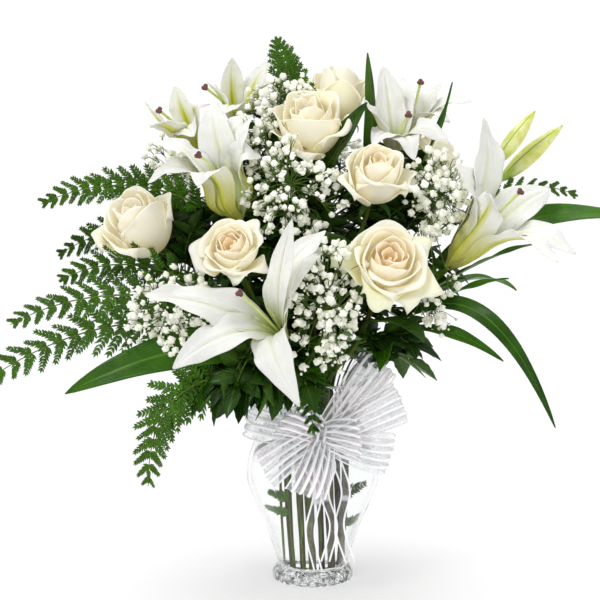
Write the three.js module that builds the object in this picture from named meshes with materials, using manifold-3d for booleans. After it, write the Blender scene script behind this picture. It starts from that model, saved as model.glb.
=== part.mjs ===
// A bouquet of white lilies, cream roses, leatherleaf fern and baby's breath in a clear glass vase
// tied with a striped sheer ribbon. Millimetres, +Z up, +Y away from the front of the bouquet.
// The origin is the centre of the vase's flat underside.
import * as THREE from "three";
import { mergeVertices } from "three/addons/utils/BufferGeometryUtils.js";
import Module from "manifold-3d";

const wasm = await Module();
wasm.setup();

// ---- driving dimensions ----------------------------------------------------------------------
const GAP = 0.3; // clearance between pieces that touch
const CUT_GROWTH = 0.33; // how much larger a piece is when it cuts its neighbours

const FOOT_RADIUS = 41.5;
const FOOT_FLAT_RADIUS = 38;
const FOOT_HEIGHT = 17;
const WAIST_RADIUS = 35;
const NECK_RADIUS = 45;
const NECK_Z = 168;
const RIM_RADIUS = 56;
const RIM_Z = 205;
const WALL = 3.8;
const FLOOR_Z = 14; // top of the glass inside the vase
const WATER_Z = 136;
// the outside of the wall from the waist over the belly to the rim, as [radius, height]
const VASE_WALL = [
  [WAIST_RADIUS, FOOT_HEIGHT],
  [42, 39],
  [50, 60],
  [60, 84],
  [67, 104],
  [65, 128],
  [55, 152],
  [NECK_RADIUS, NECK_Z],
  [47, 186],
  [RIM_RADIUS, RIM_Z],
];
const WALL_STEPS = 9;
const VASE_SIDES = 20;

const LILY_STEM_RADIUS = 3.2;
const PEDICEL_RADIUS = 2.2;
const ROSE_STEM_RADIUS = 2.5;
const FERN_STALK_RADIUS = 1.2;
const SPRAY_STALK_RADIUS = 1.1;
const TWIG_RADIUS = 0.7;
const STYLE_RADIUS = 1.6;
const STIGMA_RADIUS = 3.6;
const RECEPTACLE_RADIUS = 5.5; // where a lily's tepals and pistil grow together
const FUNNEL_RADIUS = 16; // of a lily's tube at its throat
const NEIGHBOUR_SHARE = 0.47; // a tepal's half-width next to its neighbours, against its distance out

const TEPAL_THICKNESS = 1.8; // along the midrib
const PETAL_THICKNESS = 1.4;
const LEAF_THICKNESS = 1.5;
const FROND_THICKNESS = 1.1;
const RIBBON_THICKNESS = 0.8;
const RIBBON_WIDTH = 41;

// the stems stand in a grid of places in the neck, in front of the part of the mouth that stays clear
const SLOT_PITCH = 8.8;
const SLOT_RADIUS = 36;
const SLOT_BACK_Y = 9;
const SLOT_CENTRE_Y = -13;
const SLOT_REACH = [34, 24];
const MOUTH_SPREAD = 1.2; // how far the stems spread at the rim, against the neck
// their lower ends stand in columns and rows on the vase's floor, so that light falls between them
const END_PITCH = [8.2, 7];
const END_FIRST_Y = 2;
const END_REACH = 28;
const END_SPREAD = [0.75, 0.8]; // against the neck
const END_CENTRE_Y = 4.8;

// ---- colours ---------------------------------------------------------------------------------
const finish = (color, roughness, extra = {}) =>
  new THREE.MeshStandardMaterial({ color, roughness, metalness: 0, ...extra });
const GLASS = finish(0xf2f6f6, 0.05, { transparent: true, opacity: 0.35 });
const WATER = finish(0xeaf2f0, 0.05, { transparent: true, opacity: 0.3 });
const RIBBON = finish(0xf6f5f8, 0.4);
const LILY_WHITE = finish(0xf7f7f0, 0.5);
const PISTIL_GREEN = finish(0xb9c95a, 0.5);
const BUD_GREEN = finish(0xd2dc6e, 0.5);
const ROSE_CREAM = finish(0xf6e9d4, 0.55);
const STEM_GREEN = finish(0x4d6b2c, 0.55);
const FERN_GREEN = finish(0x2f6a26, 0.5);
const SPRAY_WHITE = finish(0xf4f5ee, 0.7);

// ---- where everything stands -----------------------------------------------------------------
// A lily opens from its base through its throat; each tepal is [tip, width].
const LILIES = [
  {
    stem: 0, base: [-27, -95, 262], throat: [-46, -142, 290], stigma: [-67, -203, 319],
    tepals: [
      [[-155, -165, 315], 38],
      [[-129, -185, 248], 36],
      [[-15, -185, 211], 38],
      [[7, -150, 377], 34],
      [[19, -105, 361], 34],
      [[-20, -198, 382], 22],
    ],
  },
  {
    stem: 1, base: [-72, -40, 371], throat: [-90, -66, 412], stigma: [-108, -115, 438],
    tepals: [
      [[-160, -100, 423], 30],
      [[-143, -85, 457], 36],
      [[-100, -40, 484], 34],
      [[-60, -25, 477], 36],
      [[-47, -65, 441], 32],
      [[-110, -122, 414], 32],
    ],
  },
  {
    stem: 1, base: [-115, 0, 436], throat: [-127, -12, 458], stigma: [-150, -40, 478],
    tepals: [
      [[-161, -36, 489], 26],
      [[-138, -14, 500], 26],
      [[-158, -68, 472], 28],
      [[-134, 46, 484], 26],
      [[-104, 14, 487], 26],
      [[-118, -58, 458], 28],
    ],
  },
  {
    stem: 1, base: [-74, 30, 449], throat: [-75, 21, 476], stigma: [-107, -10, 500],
    tepals: [
      [[-80, 10, 528], 30],
      [[-49, 30, 528], 28],
      [[-42, -2, 514], 30],
      [[-101, 2, 508], 30],
      [[-86, 62, 512], 28],
      [[-88, -30, 480], 28],
    ],
  },
  {
    stem: 2, base: [83, 20, 427], throat: [83, 2, 455], stigma: [92, -50, 474],
    tepals: [
      [[53, -30, 491], 30],
      [[71, 0, 520], 30],
      [[92, 44, 512], 28],
      [[131, -42, 455], 28],
      [[98, -58, 436], 28],
      [[58, -50, 452], 28],
    ],
  },
  {
    stem: 2, base: [100, 60, 435], throat: [101, 52, 466], stigma: [108, 20, 505],
    tepals: [
      [[160, 30, 490], 28],
      [[129, 56, 505], 30],
      [[116, 104, 498], 30],
      [[74, 76, 512], 28],
      [[88, 16, 496], 26],
      [[138, 10, 470], 28],
    ],
  },
  {
    stem: 3, base: [134, -20, 322], throat: [170, -58, 370], stigma: [195, -102, 403],
    tepals: [
      [[167, -55, 472], 44],
      [[140, -82, 430], 36],
      [[172, -118, 404], 34],
      [[251, -100, 349], 34],
      [[226, -152, 348], 30],
      [[232, -46, 406], 38],
    ],
  },
];
const BUDS = [
  { stem: 3, base: [183, 10, 422], tip: [222, 5, 477], radius: 8.5 },
  { stem: 3, base: [190, 34, 404], tip: [254, 32, 462], radius: 9.5 },
];
// A lily stem climbs through `via` to its top and splits into one pedicel for each bloom and bud.
// Its leaves run through three places: on the stem, half way and the tip. Then come the width and,
// for a leaf that doesn't lie face up, how far it is turned about its own length, in degrees.
const LILY_STEMS = [
  {
    via: [[-13, -42, 228]], top: [-22, -58, 246],
    leaves: [
      [[-18, -54, 241], [-120, -112, 254], [-236, -116, 212], 38, -60],
      [[-16, -48, 234], [-58, -102, 232], [-84, -134, 216], 26, -40],
    ],
  },
  {
    via: [[-26, 14, 262]], top: [-60, 16, 345],
    leaves: [
      [[-55, 14, 332], [-84, 62, 372], [-118, 92, 384], 26],
      [[-58, 14, 340], [-34, 20, 388], [-24, 10, 430], 24],
    ],
  },
  {
    via: [[40, 12, 285]], top: [74, 26, 378],
    leaves: [
      [[60, 20, 340], [58, 2, 440], [54, -8, 534], 17],
      [[74, 26, 376], [116, 6, 436], [139, 10, 505], 13],
      [[50, 16, 312], [92, 90, 372], [128, 134, 402], 28],
    ],
  },
  {
    via: [[60, -2, 235]], top: [104, -4, 288],
    leaves: [
      [[98, -4, 280], [190, -16, 362], [318, -58, 374], 27, 50],
      [[100, -4, 284], [168, -36, 330], [226, -50, 350], 12],
      [[88, -3, 268], [140, -40, 300], [190, -62, 316], 13],
      [[62, -4, 237], [148, -96, 292], [228, -130, 182], 17, 35],
      [[56, -4, 230], [112, -74, 268], [182, -96, 240], 15],
      [[50, -6, 225], [68, -70, 248], [62, -128, 236], 24, 30],
      [[90, -2, 272], [160, 62, 300], [216, 88, 286], 28],
    ],
  },
];
// A rose faces along its axis and is `tall` times as high as a round one. Its stem carries leaves
// as [on the stem, half way, tip, width, turn].
const ROSES = [
  {
    centre: [-171, -60, 372], axis: [-0.35, -0.35, 0.87], radius: 39, tall: 1.3,
    via: [[-90, -30, 275]],
    leaves: [[[-118, -36, 299], [-150, -8, 316], [-186, 8, 322], 26]],
  },
  {
    centre: [-77, -125, 353], axis: [-0.15, -0.8, 0.58], radius: 33, tall: 1.1,
    via: [[-42, -62, 265]],
    leaves: [[[-52, -74, 289], [-100, -100, 300], [-128, -124, 322], 26]],
  },
  {
    centre: [-3, -30, 470], axis: [-0.12, -0.45, 0.88], radius: 36, tall: 1.25,
    via: [[-3, -12, 330]],
    leaves: [
      [[1, -6, 393], [22, -36, 438], [52, -46, 486], 34, 50],
      [[-1, -9, 370], [-38, -38, 376], [-64, -66, 384], 26],
    ],
  },
  {
    centre: [27, 28, 500], axis: [0.12, 0.05, 0.99], radius: 30, tall: 1.35,
    via: [[14, 8, 350]],
    leaves: [[[20, 18, 420], [4, 66, 446], [-16, 92, 470], 28]],
  },
  {
    centre: [61, -70, 421], axis: [0.12, -0.5, 0.86], radius: 33, tall: 1.4,
    via: [[32, -30, 310]],
    leaves: [[[38, -36, 335], [24, -86, 352], [8, -112, 366], 24]],
  },
  {
    centre: [71, -125, 341], axis: [0.14, -0.82, 0.55], radius: 44, tall: 1.05,
    via: [[44, -62, 255]],
    leaves: [
      [[50, -72, 274], [84, -96, 276], [104, -118, 262], 28],
      [[47, -66, 262], [34, -110, 262], [30, -146, 276], 26],
    ],
  },
  {
    centre: [122, 48, 431], axis: [0.4, 0.2, 0.9], radius: 30, tall: 1.25,
    via: [[66, 22, 315]],
    leaves: [[[88, 32, 360], [128, 66, 376], [160, 96, 380], 26]],
  },
];
// A frond's stalk climbs to the blade's base; the blade bows through its middle to the tip.
// width is the blade's full width and roll turns it about its midrib, in degrees.
const FRONDS = [
  { base: [-112, -20, 384], middle: [-190, -22, 404], tip: [-268, -30, 386], width: 58, roll: 55 },
  { base: [-138, 20, 352], middle: [-195, 6, 358], tip: [-254, -18, 334], width: 62, roll: 55 },
  { base: [-130, -64, 318], middle: [-190, -66, 330], tip: [-246, -60, 314], width: 56, roll: 58 },
  { base: [-125, -82, 296], middle: [-212, -80, 300], tip: [-294, -72, 272], width: 66, roll: 58 },
  { base: [-110, -46, 268], middle: [-225, -60, 262], tip: [-338, -60, 202], width: 84, roll: 58 },
  { base: [-78, -100, 226], middle: [-136, -132, 204], tip: [-156, -140, 128], width: 60, roll: 60 },
  { base: [-5, -76, 240], middle: [-5, -104, 221], tip: [0, -122, 176], width: 56, roll: 20 },
  { base: [-8, 26, 470], middle: [-22, 22, 508], tip: [-36, 10, 546], width: 46, roll: 80 },
  { base: [160, 44, 372], middle: [212, 34, 398], tip: [266, 14, 392], width: 46, roll: -50 },
  { base: [-40, 84, 330], middle: [-66, 138, 370], tip: [-84, 168, 350], width: 74, roll: 10 },
  { base: [56, 84, 316], middle: [76, 136, 352], tip: [92, 170, 330], width: 74, roll: -10 },
];
const PINNA_PAIRS = 7;
// A spray of baby's breath forks at its hub into a cloud of florets of the given half-sizes.
const SPRAYS = [
  { hub: [-104, 34, 356], centre: [-140, 30, 412], size: [36, 26, 34], twigs: 9 },
  { hub: [-14, 4, 436], centre: [-30, 4, 488], size: [32, 26, 30], twigs: 9 },
  { hub: [-12, -40, 346], centre: [-22, -72, 408], size: [44, 26, 42], twigs: 11 },
  { hub: [92, -20, 340], centre: [124, -46, 396], size: [34, 26, 42], twigs: 11 },
  { hub: [10, -70, 246], centre: [14, -118, 292], size: [34, 26, 46], twigs: 11 },
  { hub: [-84, -64, 262], centre: [-136, -110, 290], size: [42, 22, 34], twigs: 11 },
  { hub: [10, 62, 360], centre: [14, 102, 420], size: [60, 34, 40], twigs: 11 },
];
const FLORET_RADIUS = 4.4;

// ---- vectors and solids ----------------------------------------------------------------------
const vec = ([x, y, z]) => new THREE.Vector3(x, y, z);
const UP = new THREE.Vector3(0, 0, 1);
const GOLDEN_ANGLE = Math.PI * (3 - Math.sqrt(5));

function mesh(positions, index) {
  const geometry = new THREE.BufferGeometry();
  geometry.setAttribute("position", new THREE.Float32BufferAttribute(positions, 3));
  geometry.setIndex(index);
  return geometry;
}

/** The signed volume inside a closed indexed mesh: negative where its faces point inwards. */
function signedVolume(geometry) {
  const p = geometry.attributes.position;
  const index = geometry.index.array;
  const [a, b, c] = [new THREE.Vector3(), new THREE.Vector3(), new THREE.Vector3()];
  let volume = 0;
  for (let i = 0; i < index.length; i += 3) {
    a.fromBufferAttribute(p, index[i]);
    b.fromBufferAttribute(p, index[i + 1]);
    c.fromBufferAttribute(p, index[i + 2]);
    volume += a.dot(b.cross(c)) / 6;
  }
  return volume;
}

/** A solid from a closed geometry, its faces turned outwards. */
function solid(source) {
  const bare = source.clone();
  bare.deleteAttribute("normal");
  bare.deleteAttribute("uv");
  const merged = mergeVertices(bare, 1e-4);
  const triVerts = Uint32Array.from(merged.index.array);
  if (signedVolume(merged) < 0) triVerts.reverse();
  const vertProperties = Float32Array.from(merged.attributes.position.array);
  return new wasm.Manifold(new wasm.Mesh({ numProp: 3, vertProperties, triVerts }));
}

const join = (solids) => solids.reduce((whole, next) => whole.add(next));

function geometryOf(manifold) {
  const { vertProperties, triVerts } = manifold.getMesh();
  const geometry = mesh(Array.from(vertProperties), Array.from(triVerts));
  geometry.computeVertexNormals();
  return geometry;
}

/** The largest of the separate bodies that a cut leaves. */
function largest(manifold) {
  const bodies = manifold.decompose();
  return bodies.reduce((best, body) => (body.volume() > best.volume() ? body : best));
}

/**
 * A rod through a list of points, `sides` sided, with closed ends. Each ring of its surface stands
 * square to the route, turned as little as possible against the ring before it.
 */
function rod(route, radius, sides) {
  const positions = [];
  const last = route.length - 1;
  let across = null;
  route.forEach((point, i) => {
    const ahead = route[Math.min(i + 1, last)].clone().sub(route[Math.max(i - 1, 0)]).normalize();
    across ??= new THREE.Vector3(0.31, 0.87, 0.38).cross(ahead);
    across.addScaledVector(ahead, -across.dot(ahead)).normalize();
    const up = ahead.clone().cross(across);
    for (let k = 0; k < sides; k++) {
      const angle = (2 * Math.PI * k) / sides;
      const place = point.clone().addScaledVector(across, radius * Math.cos(angle));
      positions.push(...place.addScaledVector(up, radius * Math.sin(angle)).toArray());
    }
  });
  const index = [];
  for (let i = 0; i < last; i++) {
    for (let k = 0; k < sides; k++) {
      const [a, b] = [i * sides + k, i * sides + ((k + 1) % sides)];
      index.push(a, b, b + sides, a, b + sides, a + sides);
    }
  }
  for (let k = 1; k < sides - 1; k++) {
    index.push(0, k + 1, k);
    index.push(last * sides, last * sides + k, last * sides + k + 1);
  }
  return solid(mesh(positions, index));
}

/** The radius of a rod that clears one of `radius` by `grow` on its flat sides. */
const grownRadius = (radius, grow, sides) => radius + grow / Math.cos(Math.PI / sides);

const smoothCurve = (points) => new THREE.CatmullRomCurve3(points, false, "centripetal");

/** A bowed line that passes through `mid` half way. */
function bowed(start, mid, end) {
  const control = mid.clone().multiplyScalar(2);
  control.addScaledVector(start, -0.5).addScaledVector(end, -0.5);
  return new THREE.QuadraticBezierCurve3(start, control, end);
}

/** A lump with a few flat faces, such as a floret, a rose hip or a stigma. */
function lump(centre, radius, detail = 0) {
  const geometry = new THREE.IcosahedronGeometry(radius, detail);
  geometry.translate(centre.x, centre.y, centre.z);
  return solid(geometry);
}

/**
 * A thin plate over a grid. pointAt(s, u) is a place on its middle surface, s from 0 at the base
 * to 1 at the tip and u from -1 to 1 across. Both ends reach `grow` further, each skin too.
 */
function plate(lengthSteps, widthSteps, thickness, pointAt, grow = 0) {
  const columns = widthSteps + 1;
  const rows = lengthSteps + 1;
  const d = 1e-3;
  const skins = [[], []];
  for (let i = 0; i < rows; i++) {
    for (let j = 0; j < columns; j++) {
      const s = i / lengthSteps;
      const u = (2 * j) / widthSteps - 1;
      const along = pointAt(s + d, u).sub(pointAt(s - d, u)).normalize();
      const across = pointAt(s, u + d).sub(pointAt(s, u - d)).normalize();
      const normal = along.clone().cross(across).normalize();
      const end = i === 0 ? -grow : i === lengthSteps ? grow : 0;
      const middle = pointAt(s, u).addScaledVector(along, end);
      for (const [k, side] of [[0, 1], [1, -1]]) {
        const half = side * (thickness / 2 + grow);
        skins[k].push(middle.clone().addScaledVector(normal, half));
      }
    }
  }
  const at = (skin, i, j) => skin * rows * columns + i * columns + j;
  const index = [];
  const quad = (a, b, c, e) => index.push(a, b, c, a, c, e);
  for (let i = 0; i < lengthSteps; i++) {
    for (let j = 0; j < widthSteps; j++) {
      quad(at(0, i, j), at(0, i + 1, j), at(0, i + 1, j + 1), at(0, i, j + 1));
      quad(at(1, i, j), at(1, i, j + 1), at(1, i + 1, j + 1), at(1, i + 1, j));
    }
    quad(at(0, i, 0), at(1, i, 0), at(1, i + 1, 0), at(0, i + 1, 0));
    const end = widthSteps;
    quad(at(0, i + 1, end), at(1, i + 1, end), at(1, i, end), at(0, i, end));
  }
  for (let j = 0; j < widthSteps; j++) {
    quad(at(0, 0, j), at(0, 0, j + 1), at(1, 0, j + 1), at(1, 0, j));
    const end = lengthSteps;
    quad(at(0, end, j + 1), at(0, end, j), at(1, end, j), at(1, end, j + 1));
  }
  return solid(mesh(skins.flat().flatMap((p) => p.toArray()), index));
}

/**
 * A pointed blade over the same kind of grid: thick along its midrib and sharp at its edges and tip.
 * Where it cuts a neighbour it is the plate that holds it, `grow` larger all round.
 */
function blade(lengthSteps, thickness, pointAt, grow) {
  if (grow > 0) return plate(lengthSteps, 2, thickness, pointAt, grow);
  const positions = [];
  const d = 1e-3;
  for (let i = 0; i < lengthSteps; i++) {
    const s = i / lengthSteps;
    const along = pointAt(s + d, 0).sub(pointAt(s - d, 0)).normalize();
    const across = pointAt(s, 1).sub(pointAt(s, -1)).normalize();
    const normal = along.cross(across).normalize();
    const rib = pointAt(s, 0);
    const front = rib.clone().addScaledVector(normal, thickness / 2);
    const back = rib.clone().addScaledVector(normal, -thickness / 2);
    for (const p of [pointAt(s, -1), front, pointAt(s, 1), back]) positions.push(...p.toArray());
  }
  positions.push(...pointAt(1, 0).toArray());
  const index = [0, 2, 1, 0, 3, 2];
  const tip = 4 * lengthSteps;
  for (let i = 0; i < lengthSteps; i++) {
    for (let k = 0; k < 4; k++) {
      const [a, b] = [4 * i + k, 4 * i + ((k + 1) % 4)];
      if (i + 1 < lengthSteps) index.push(a, b, b + 4, a, b + 4, a + 4);
      else index.push(a, b, tip);
    }
  }
  return solid(mesh(positions, index));
}

/** How wide a pointed blade is at s: narrow at the base, widest near the middle, sharp at the tip. */
function bladeShare(s, baseShare) {
  const t = THREE.MathUtils.clamp(s, 0, 1);
  return Math.max(baseShare * (1 - t), Math.pow(Math.sin(Math.PI * Math.pow(t, 0.8)), 0.75)) + 0.04;
}

/** How wide a tepal is at s: a narrow claw, a broad middle and a pointed tip. */
function tepalShare(s) {
  const t = THREE.MathUtils.clamp(s, 0, 1);
  return 0.3 * (1 - s) + 0.08 + 0.9 * Math.sin(Math.PI * t ** 1.15);
}

/** A shape turned about the vertical axis through the origin, from [radius, height] points. */
function turned(profile) {
  const geometry = new THREE.LatheGeometry(profile, VASE_SIDES);
  geometry.rotateX(Math.PI / 2);
  return solid(geometry);
}

/** A spindle turned about +Y from [radius, height] points; it starts and ends on its axis. */
function spun(outline, sides, grow) {
  const last = outline.length - 1;
  const profile = outline.map(([r, height], i) => {
    if (i === 0) return new THREE.Vector2(0, height - grow);
    if (i === last) return new THREE.Vector2(0, height + grow);
    return new THREE.Vector2(r + grow, height);
  });
  return new THREE.LatheGeometry(profile, sides);
}

/** Stands a shape turned about +Y on `from`, pointing to `to`. */
function alignTo(geometry, from, to) {
  const direction = to.clone().sub(from).normalize();
  const turn = new THREE.Quaternion().setFromUnitVectors(new THREE.Vector3(0, 1, 0), direction);
  geometry.applyQuaternion(turn);
  geometry.translate(from.x, from.y, from.z);
}

// ---- glass and water -------------------------------------------------------------------------
function wallCurve() {
  return new THREE.SplineCurve(VASE_WALL.map(([r, z]) => new THREE.Vector2(r, z)));
}

/** The inside of the wall: the outside moved in by the wall's thickness, down to the floor. */
function innerWall() {
  const curve = wallCurve();
  const points = [];
  for (let i = WALL_STEPS; i >= 0; i--) {
    const t = i / WALL_STEPS;
    const tangent = curve.getTangent(t);
    const point = curve.getPoint(t);
    points.push(new THREE.Vector2(point.x - WALL * tangent.y, point.y + WALL * tangent.x));
  }
  return points.filter((p) => p.y > FLOOR_Z + 2);
}

function vase() {
  const outer = wallCurve().getPoints(WALL_STEPS);
  const foot = [
    [0, 0],
    [FOOT_FLAT_RADIUS, 0],
    [FOOT_RADIUS - 0.8, 2],
    [FOOT_RADIUS, 6],
    [FOOT_RADIUS - 0.8, 10],
    [FOOT_RADIUS - 3.5, 14],
  ].map(([r, z]) => new THREE.Vector2(r, z));
  const inner = innerWall();
  const lip = new THREE.Vector2(RIM_RADIUS - WALL / 2 + 0.4, RIM_Z + 1.6);
  const floor = [
    new THREE.Vector2(WAIST_RADIUS - WALL - 3, FLOOR_Z),
    new THREE.Vector2(0, FLOOR_Z),
  ];
  return turned([...foot, ...outer, lip, ...inner, ...floor]);
}

/** The inside radius of the vase at a height. */
function insideRadius(z) {
  const inner = innerWall();
  const above = inner.findLast((p) => p.y >= z) ?? inner[0];
  const below = inner.find((p) => p.y < z) ?? inner.at(-1);
  if (above === below || above.y === below.y) return above.x;
  return THREE.MathUtils.lerp(below.x, above.x, (z - below.y) / (above.y - below.y));
}

/** The water fills the vase to its level, 0.3 mm inside the glass. */
function water() {
  const profile = [[0, FLOOR_Z + GAP], [WAIST_RADIUS - WALL - 3.4, FLOOR_Z + GAP]];
  const levels = [FLOOR_Z + 4, 26, 40, 58, 76, 94, 108, 122, WATER_Z];
  for (const z of levels) profile.push([insideRadius(z) - 2 * GAP, z]);
  profile.push([0, WATER_Z]);
  return turned(profile.map(([r, z]) => new THREE.Vector2(r, z)));
}

// ---- stems -----------------------------------------------------------------------------------
/** The free places in the neck, row by row. */
function neckPlaces() {
  const places = [];
  for (let y = SLOT_BACK_Y, row = 0; y > -SLOT_RADIUS; y -= SLOT_PITCH * 0.9, row++) {
    const shift = (row % 2) * 0.5;
    for (let i = -5; i <= 5; i++) {
      const x = (i + shift) * SLOT_PITCH;
      if (Math.hypot(x, y) <= SLOT_RADIUS - 1) places.push([x, y]);
    }
  }
  return places;
}

/**
 * Gives each stem the free place nearest to the side it leans to. The flattest stems choose first
 * and stand outermost, so the stems spread from the neck without crossing.
 */
function assignPlaces(targets) {
  const free = neckPlaces();
  const leaning = targets.map(([x, y, z], order) => {
    const out = Math.hypot(x, y);
    return { order, lean: Math.atan2(out, z - RIM_Z), side: [x / out, y / out] };
  });
  leaning.sort((a, b) => b.lean - a.lean);
  const places = [];
  leaning.forEach(({ order, side }, rank) => {
    const share = Math.sqrt(1 - rank / targets.length);
    const x = SLOT_REACH[0] * share * side[0];
    const y = SLOT_CENTRE_Y + SLOT_REACH[1] * share * side[1];
    const far = (place) => Math.hypot(place[0] - x, place[1] - y);
    const nearest = free.reduce((best, place, i) => (far(place) < far(free[best]) ? i : best), 0);
    places[order] = free.splice(nearest, 1)[0];
  });
  return places;
}

/** Where the stems end on the vase's floor: from left to right, each takes the free place below it. */
function endPlaces(necks) {
  const free = [];
  for (let row = -5; row <= 5; row++) {
    for (let column = -4; column <= 4; column++) {
      const [x, y] = [column * END_PITCH[0], END_FIRST_Y + row * END_PITCH[1]];
      if (Math.hypot(x, y) <= END_REACH) free.push([x, y]);
    }
  }
  const order = necks.map((_, i) => i).sort((a, b) => necks[a][0] - necks[b][0]);
  const ends = [];
  for (const i of order) {
    const x = necks[i][0] * END_SPREAD[0];
    const y = necks[i][1] * END_SPREAD[1] + END_CENTRE_Y;
    const far = (place) => Math.hypot(place[0] - x, place[1] - y);
    const nearest = free.reduce((best, place, k) => (far(place) < far(free[best]) ? k : best), 0);
    ends[i] = free.splice(nearest, 1)[0];
  }
  return ends;
}

/** A stem's route: straight from the vase's floor to its place in the neck, then on through `rest`. */
function stemRoute({ neck: [x, y], end }, rest, steps) {
  const foot = vec([...end, FLOOR_Z + GAP]);
  const neck = vec([x, y, NECK_Z]);
  const mouth = vec([x * MOUTH_SPREAD, y * MOUTH_SPREAD, RIM_Z + 6]);
  const below = neck.clone().lerp(foot, 0.2);
  const above = smoothCurve([below, neck, mouth, ...rest.map(vec)]);
  return [foot, ...above.getPoints(steps)];
}

// ---- lilies ----------------------------------------------------------------------------------
/** One tepal: a channelled, pointed blade that leaves the tube and bends out to its tip. */
function tepal(lily, [tipAt, width], grow) {
  const [base, throat, tip] = [vec(lily.base), vec(lily.throat), vec(tipAt)];
  const axis = throat.clone().sub(base);
  const tube = axis.length();
  axis.normalize();
  const out = tip.clone().sub(throat);
  out.addScaledVector(axis, -out.dot(axis)).normalize();
  const side = axis.clone().cross(out).normalize();
  const reach = tip.distanceTo(throat);
  const start = base.clone().addScaledVector(axis, 3).addScaledVector(out, 4);
  const lower = base.clone().addScaledVector(axis, tube).addScaledVector(out, FUNNEL_RADIUS * 0.7);
  const upper = throat.clone().addScaledVector(axis, reach * 0.4).addScaledVector(out, reach * 0.35);
  const middle = new THREE.CubicBezierCurve3(start, lower, upper, tip);
  const pointAt = (s, u) => {
    const fromAxis = middle.getPoint(s).sub(base).cross(axis).length();
    const half = Math.min((width / 2) * tepalShare(s), fromAxis * NEIGHBOUR_SHARE) + grow;
    const bend = side.clone().cross(middle.getTangent(THREE.MathUtils.clamp(s, 0.02, 0.98)));
    const channel = -0.22 * half * u * u;
    return middle.getPoint(s).addScaledVector(side, u * half).addScaledVector(bend, channel);
  };
  return blade(reach > 70 ? 5 : 4, TEPAL_THICKNESS, pointAt, grow);
}

/** A bloom: six tepals that grow from one receptacle. */
function lilyBloom(lily, grow) {
  const [base, throat] = [vec(lily.base), vec(lily.throat)];
  const away = throat.sub(base).normalize();
  const centre = base.addScaledVector(away, RECEPTACLE_RADIUS * 0.64);
  const receptacle = lump(centre, RECEPTACLE_RADIUS + grow);
  return join([receptacle, ...lily.tepals.map((one) => tepal(lily, one, grow))]);
}

/** The style rises from the bottom of the tube to the stigma that shows in front. */
function pistil(lily, grow) {
  const [base, throat, stigma] = [vec(lily.base), vec(lily.throat), vec(lily.stigma)];
  const away = throat.clone().sub(base).normalize();
  const start = base.addScaledVector(away, RECEPTACLE_RADIUS * 1.2);
  const curve = new THREE.QuadraticBezierCurve3(start, throat, stigma);
  const style = rod(curve.getPoints(3), grownRadius(STYLE_RADIUS, grow, 4), 4);
  return style.add(lump(stigma, STIGMA_RADIUS + grow));
}

/** A closed bud: a spindle, widest a little below its middle. */
function bud({ base, tip, radius }, grow) {
  const [start, end] = [vec(base), vec(tip)];
  const length = start.distanceTo(end);
  const outline = [0, 0.04, 0.2, 0.42, 0.66, 0.88, 1].map((s) => {
    return [radius * Math.sin(Math.PI * s ** 0.85) ** 0.8, s * length];
  });
  const geometry = spun(outline, 9, grow);
  alignTo(geometry, start, end);
  return solid(geometry);
}

/** A leaf from its stem through its middle to its tip, its face up before it is rolled. */
function leaf([from, through, to, width, roll = 0], grow) {
  const [start, mid, end] = [vec(from), vec(through), vec(to)];
  const middle = bowed(start, mid, end);
  const chord = end.clone().sub(start).normalize();
  const side = chord.clone().cross(UP).normalize();
  side.applyAxisAngle(chord, THREE.MathUtils.degToRad(roll));
  const pointAt = (s, u) => {
    const half = (width / 2) * bladeShare(s, 0.2) + grow;
    const up = side.clone().cross(middle.getTangent(THREE.MathUtils.clamp(s, 0, 1)));
    return middle
      .getPoint(s)
      .addScaledVector(side, u * half)
      .addScaledVector(up, 0.25 * half * Math.abs(u));
  };
  return blade(5, LEAF_THICKNESS, pointAt, grow);
}

function lilyStem(stem, place, heads, grow) {
  const top = vec(stem.top);
  const route = stemRoute(place, [...stem.via, stem.top], 7);
  const sides = 8;
  const parts = [rod(route, grownRadius(LILY_STEM_RADIUS, grow, sides), sides)];
  const rising = route.at(-1).clone().sub(route.at(-2)).normalize();
  for (const head of heads) {
    const base = vec(head.base);
    const facing = vec(head.throat ?? head.tip).sub(base).normalize();
    const reach = top.distanceTo(base) * 0.45;
    const from = top.clone().addScaledVector(rising, -2);
    const leaving = top.clone().addScaledVector(rising, reach);
    const arriving = base.clone().addScaledVector(facing, -reach);
    const curve = new THREE.CubicBezierCurve3(from, leaving, arriving, base);
    parts.push(rod(curve.getPoints(3), grownRadius(PEDICEL_RADIUS, grow, 5), 5));
  }
  for (const one of stem.leaves) parts.push(leaf(one, grow));
  return join(parts);
}

// ---- roses -----------------------------------------------------------------------------------
// the closed heart's [radius, height] from the base of the head, in head radii
const ROSE_HEART = [[0, 0], [0.26, 0.06], [0.5, 0.5], [0.54, 1], [0.3, 1.42], [0, 1.52]];
const roseAxis = (rose) => vec(rose.axis).normalize();
const roseBase = (rose) => vec(rose.centre).addScaledVector(roseAxis(rose), -0.72 * rose.radius * rose.tall);

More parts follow.
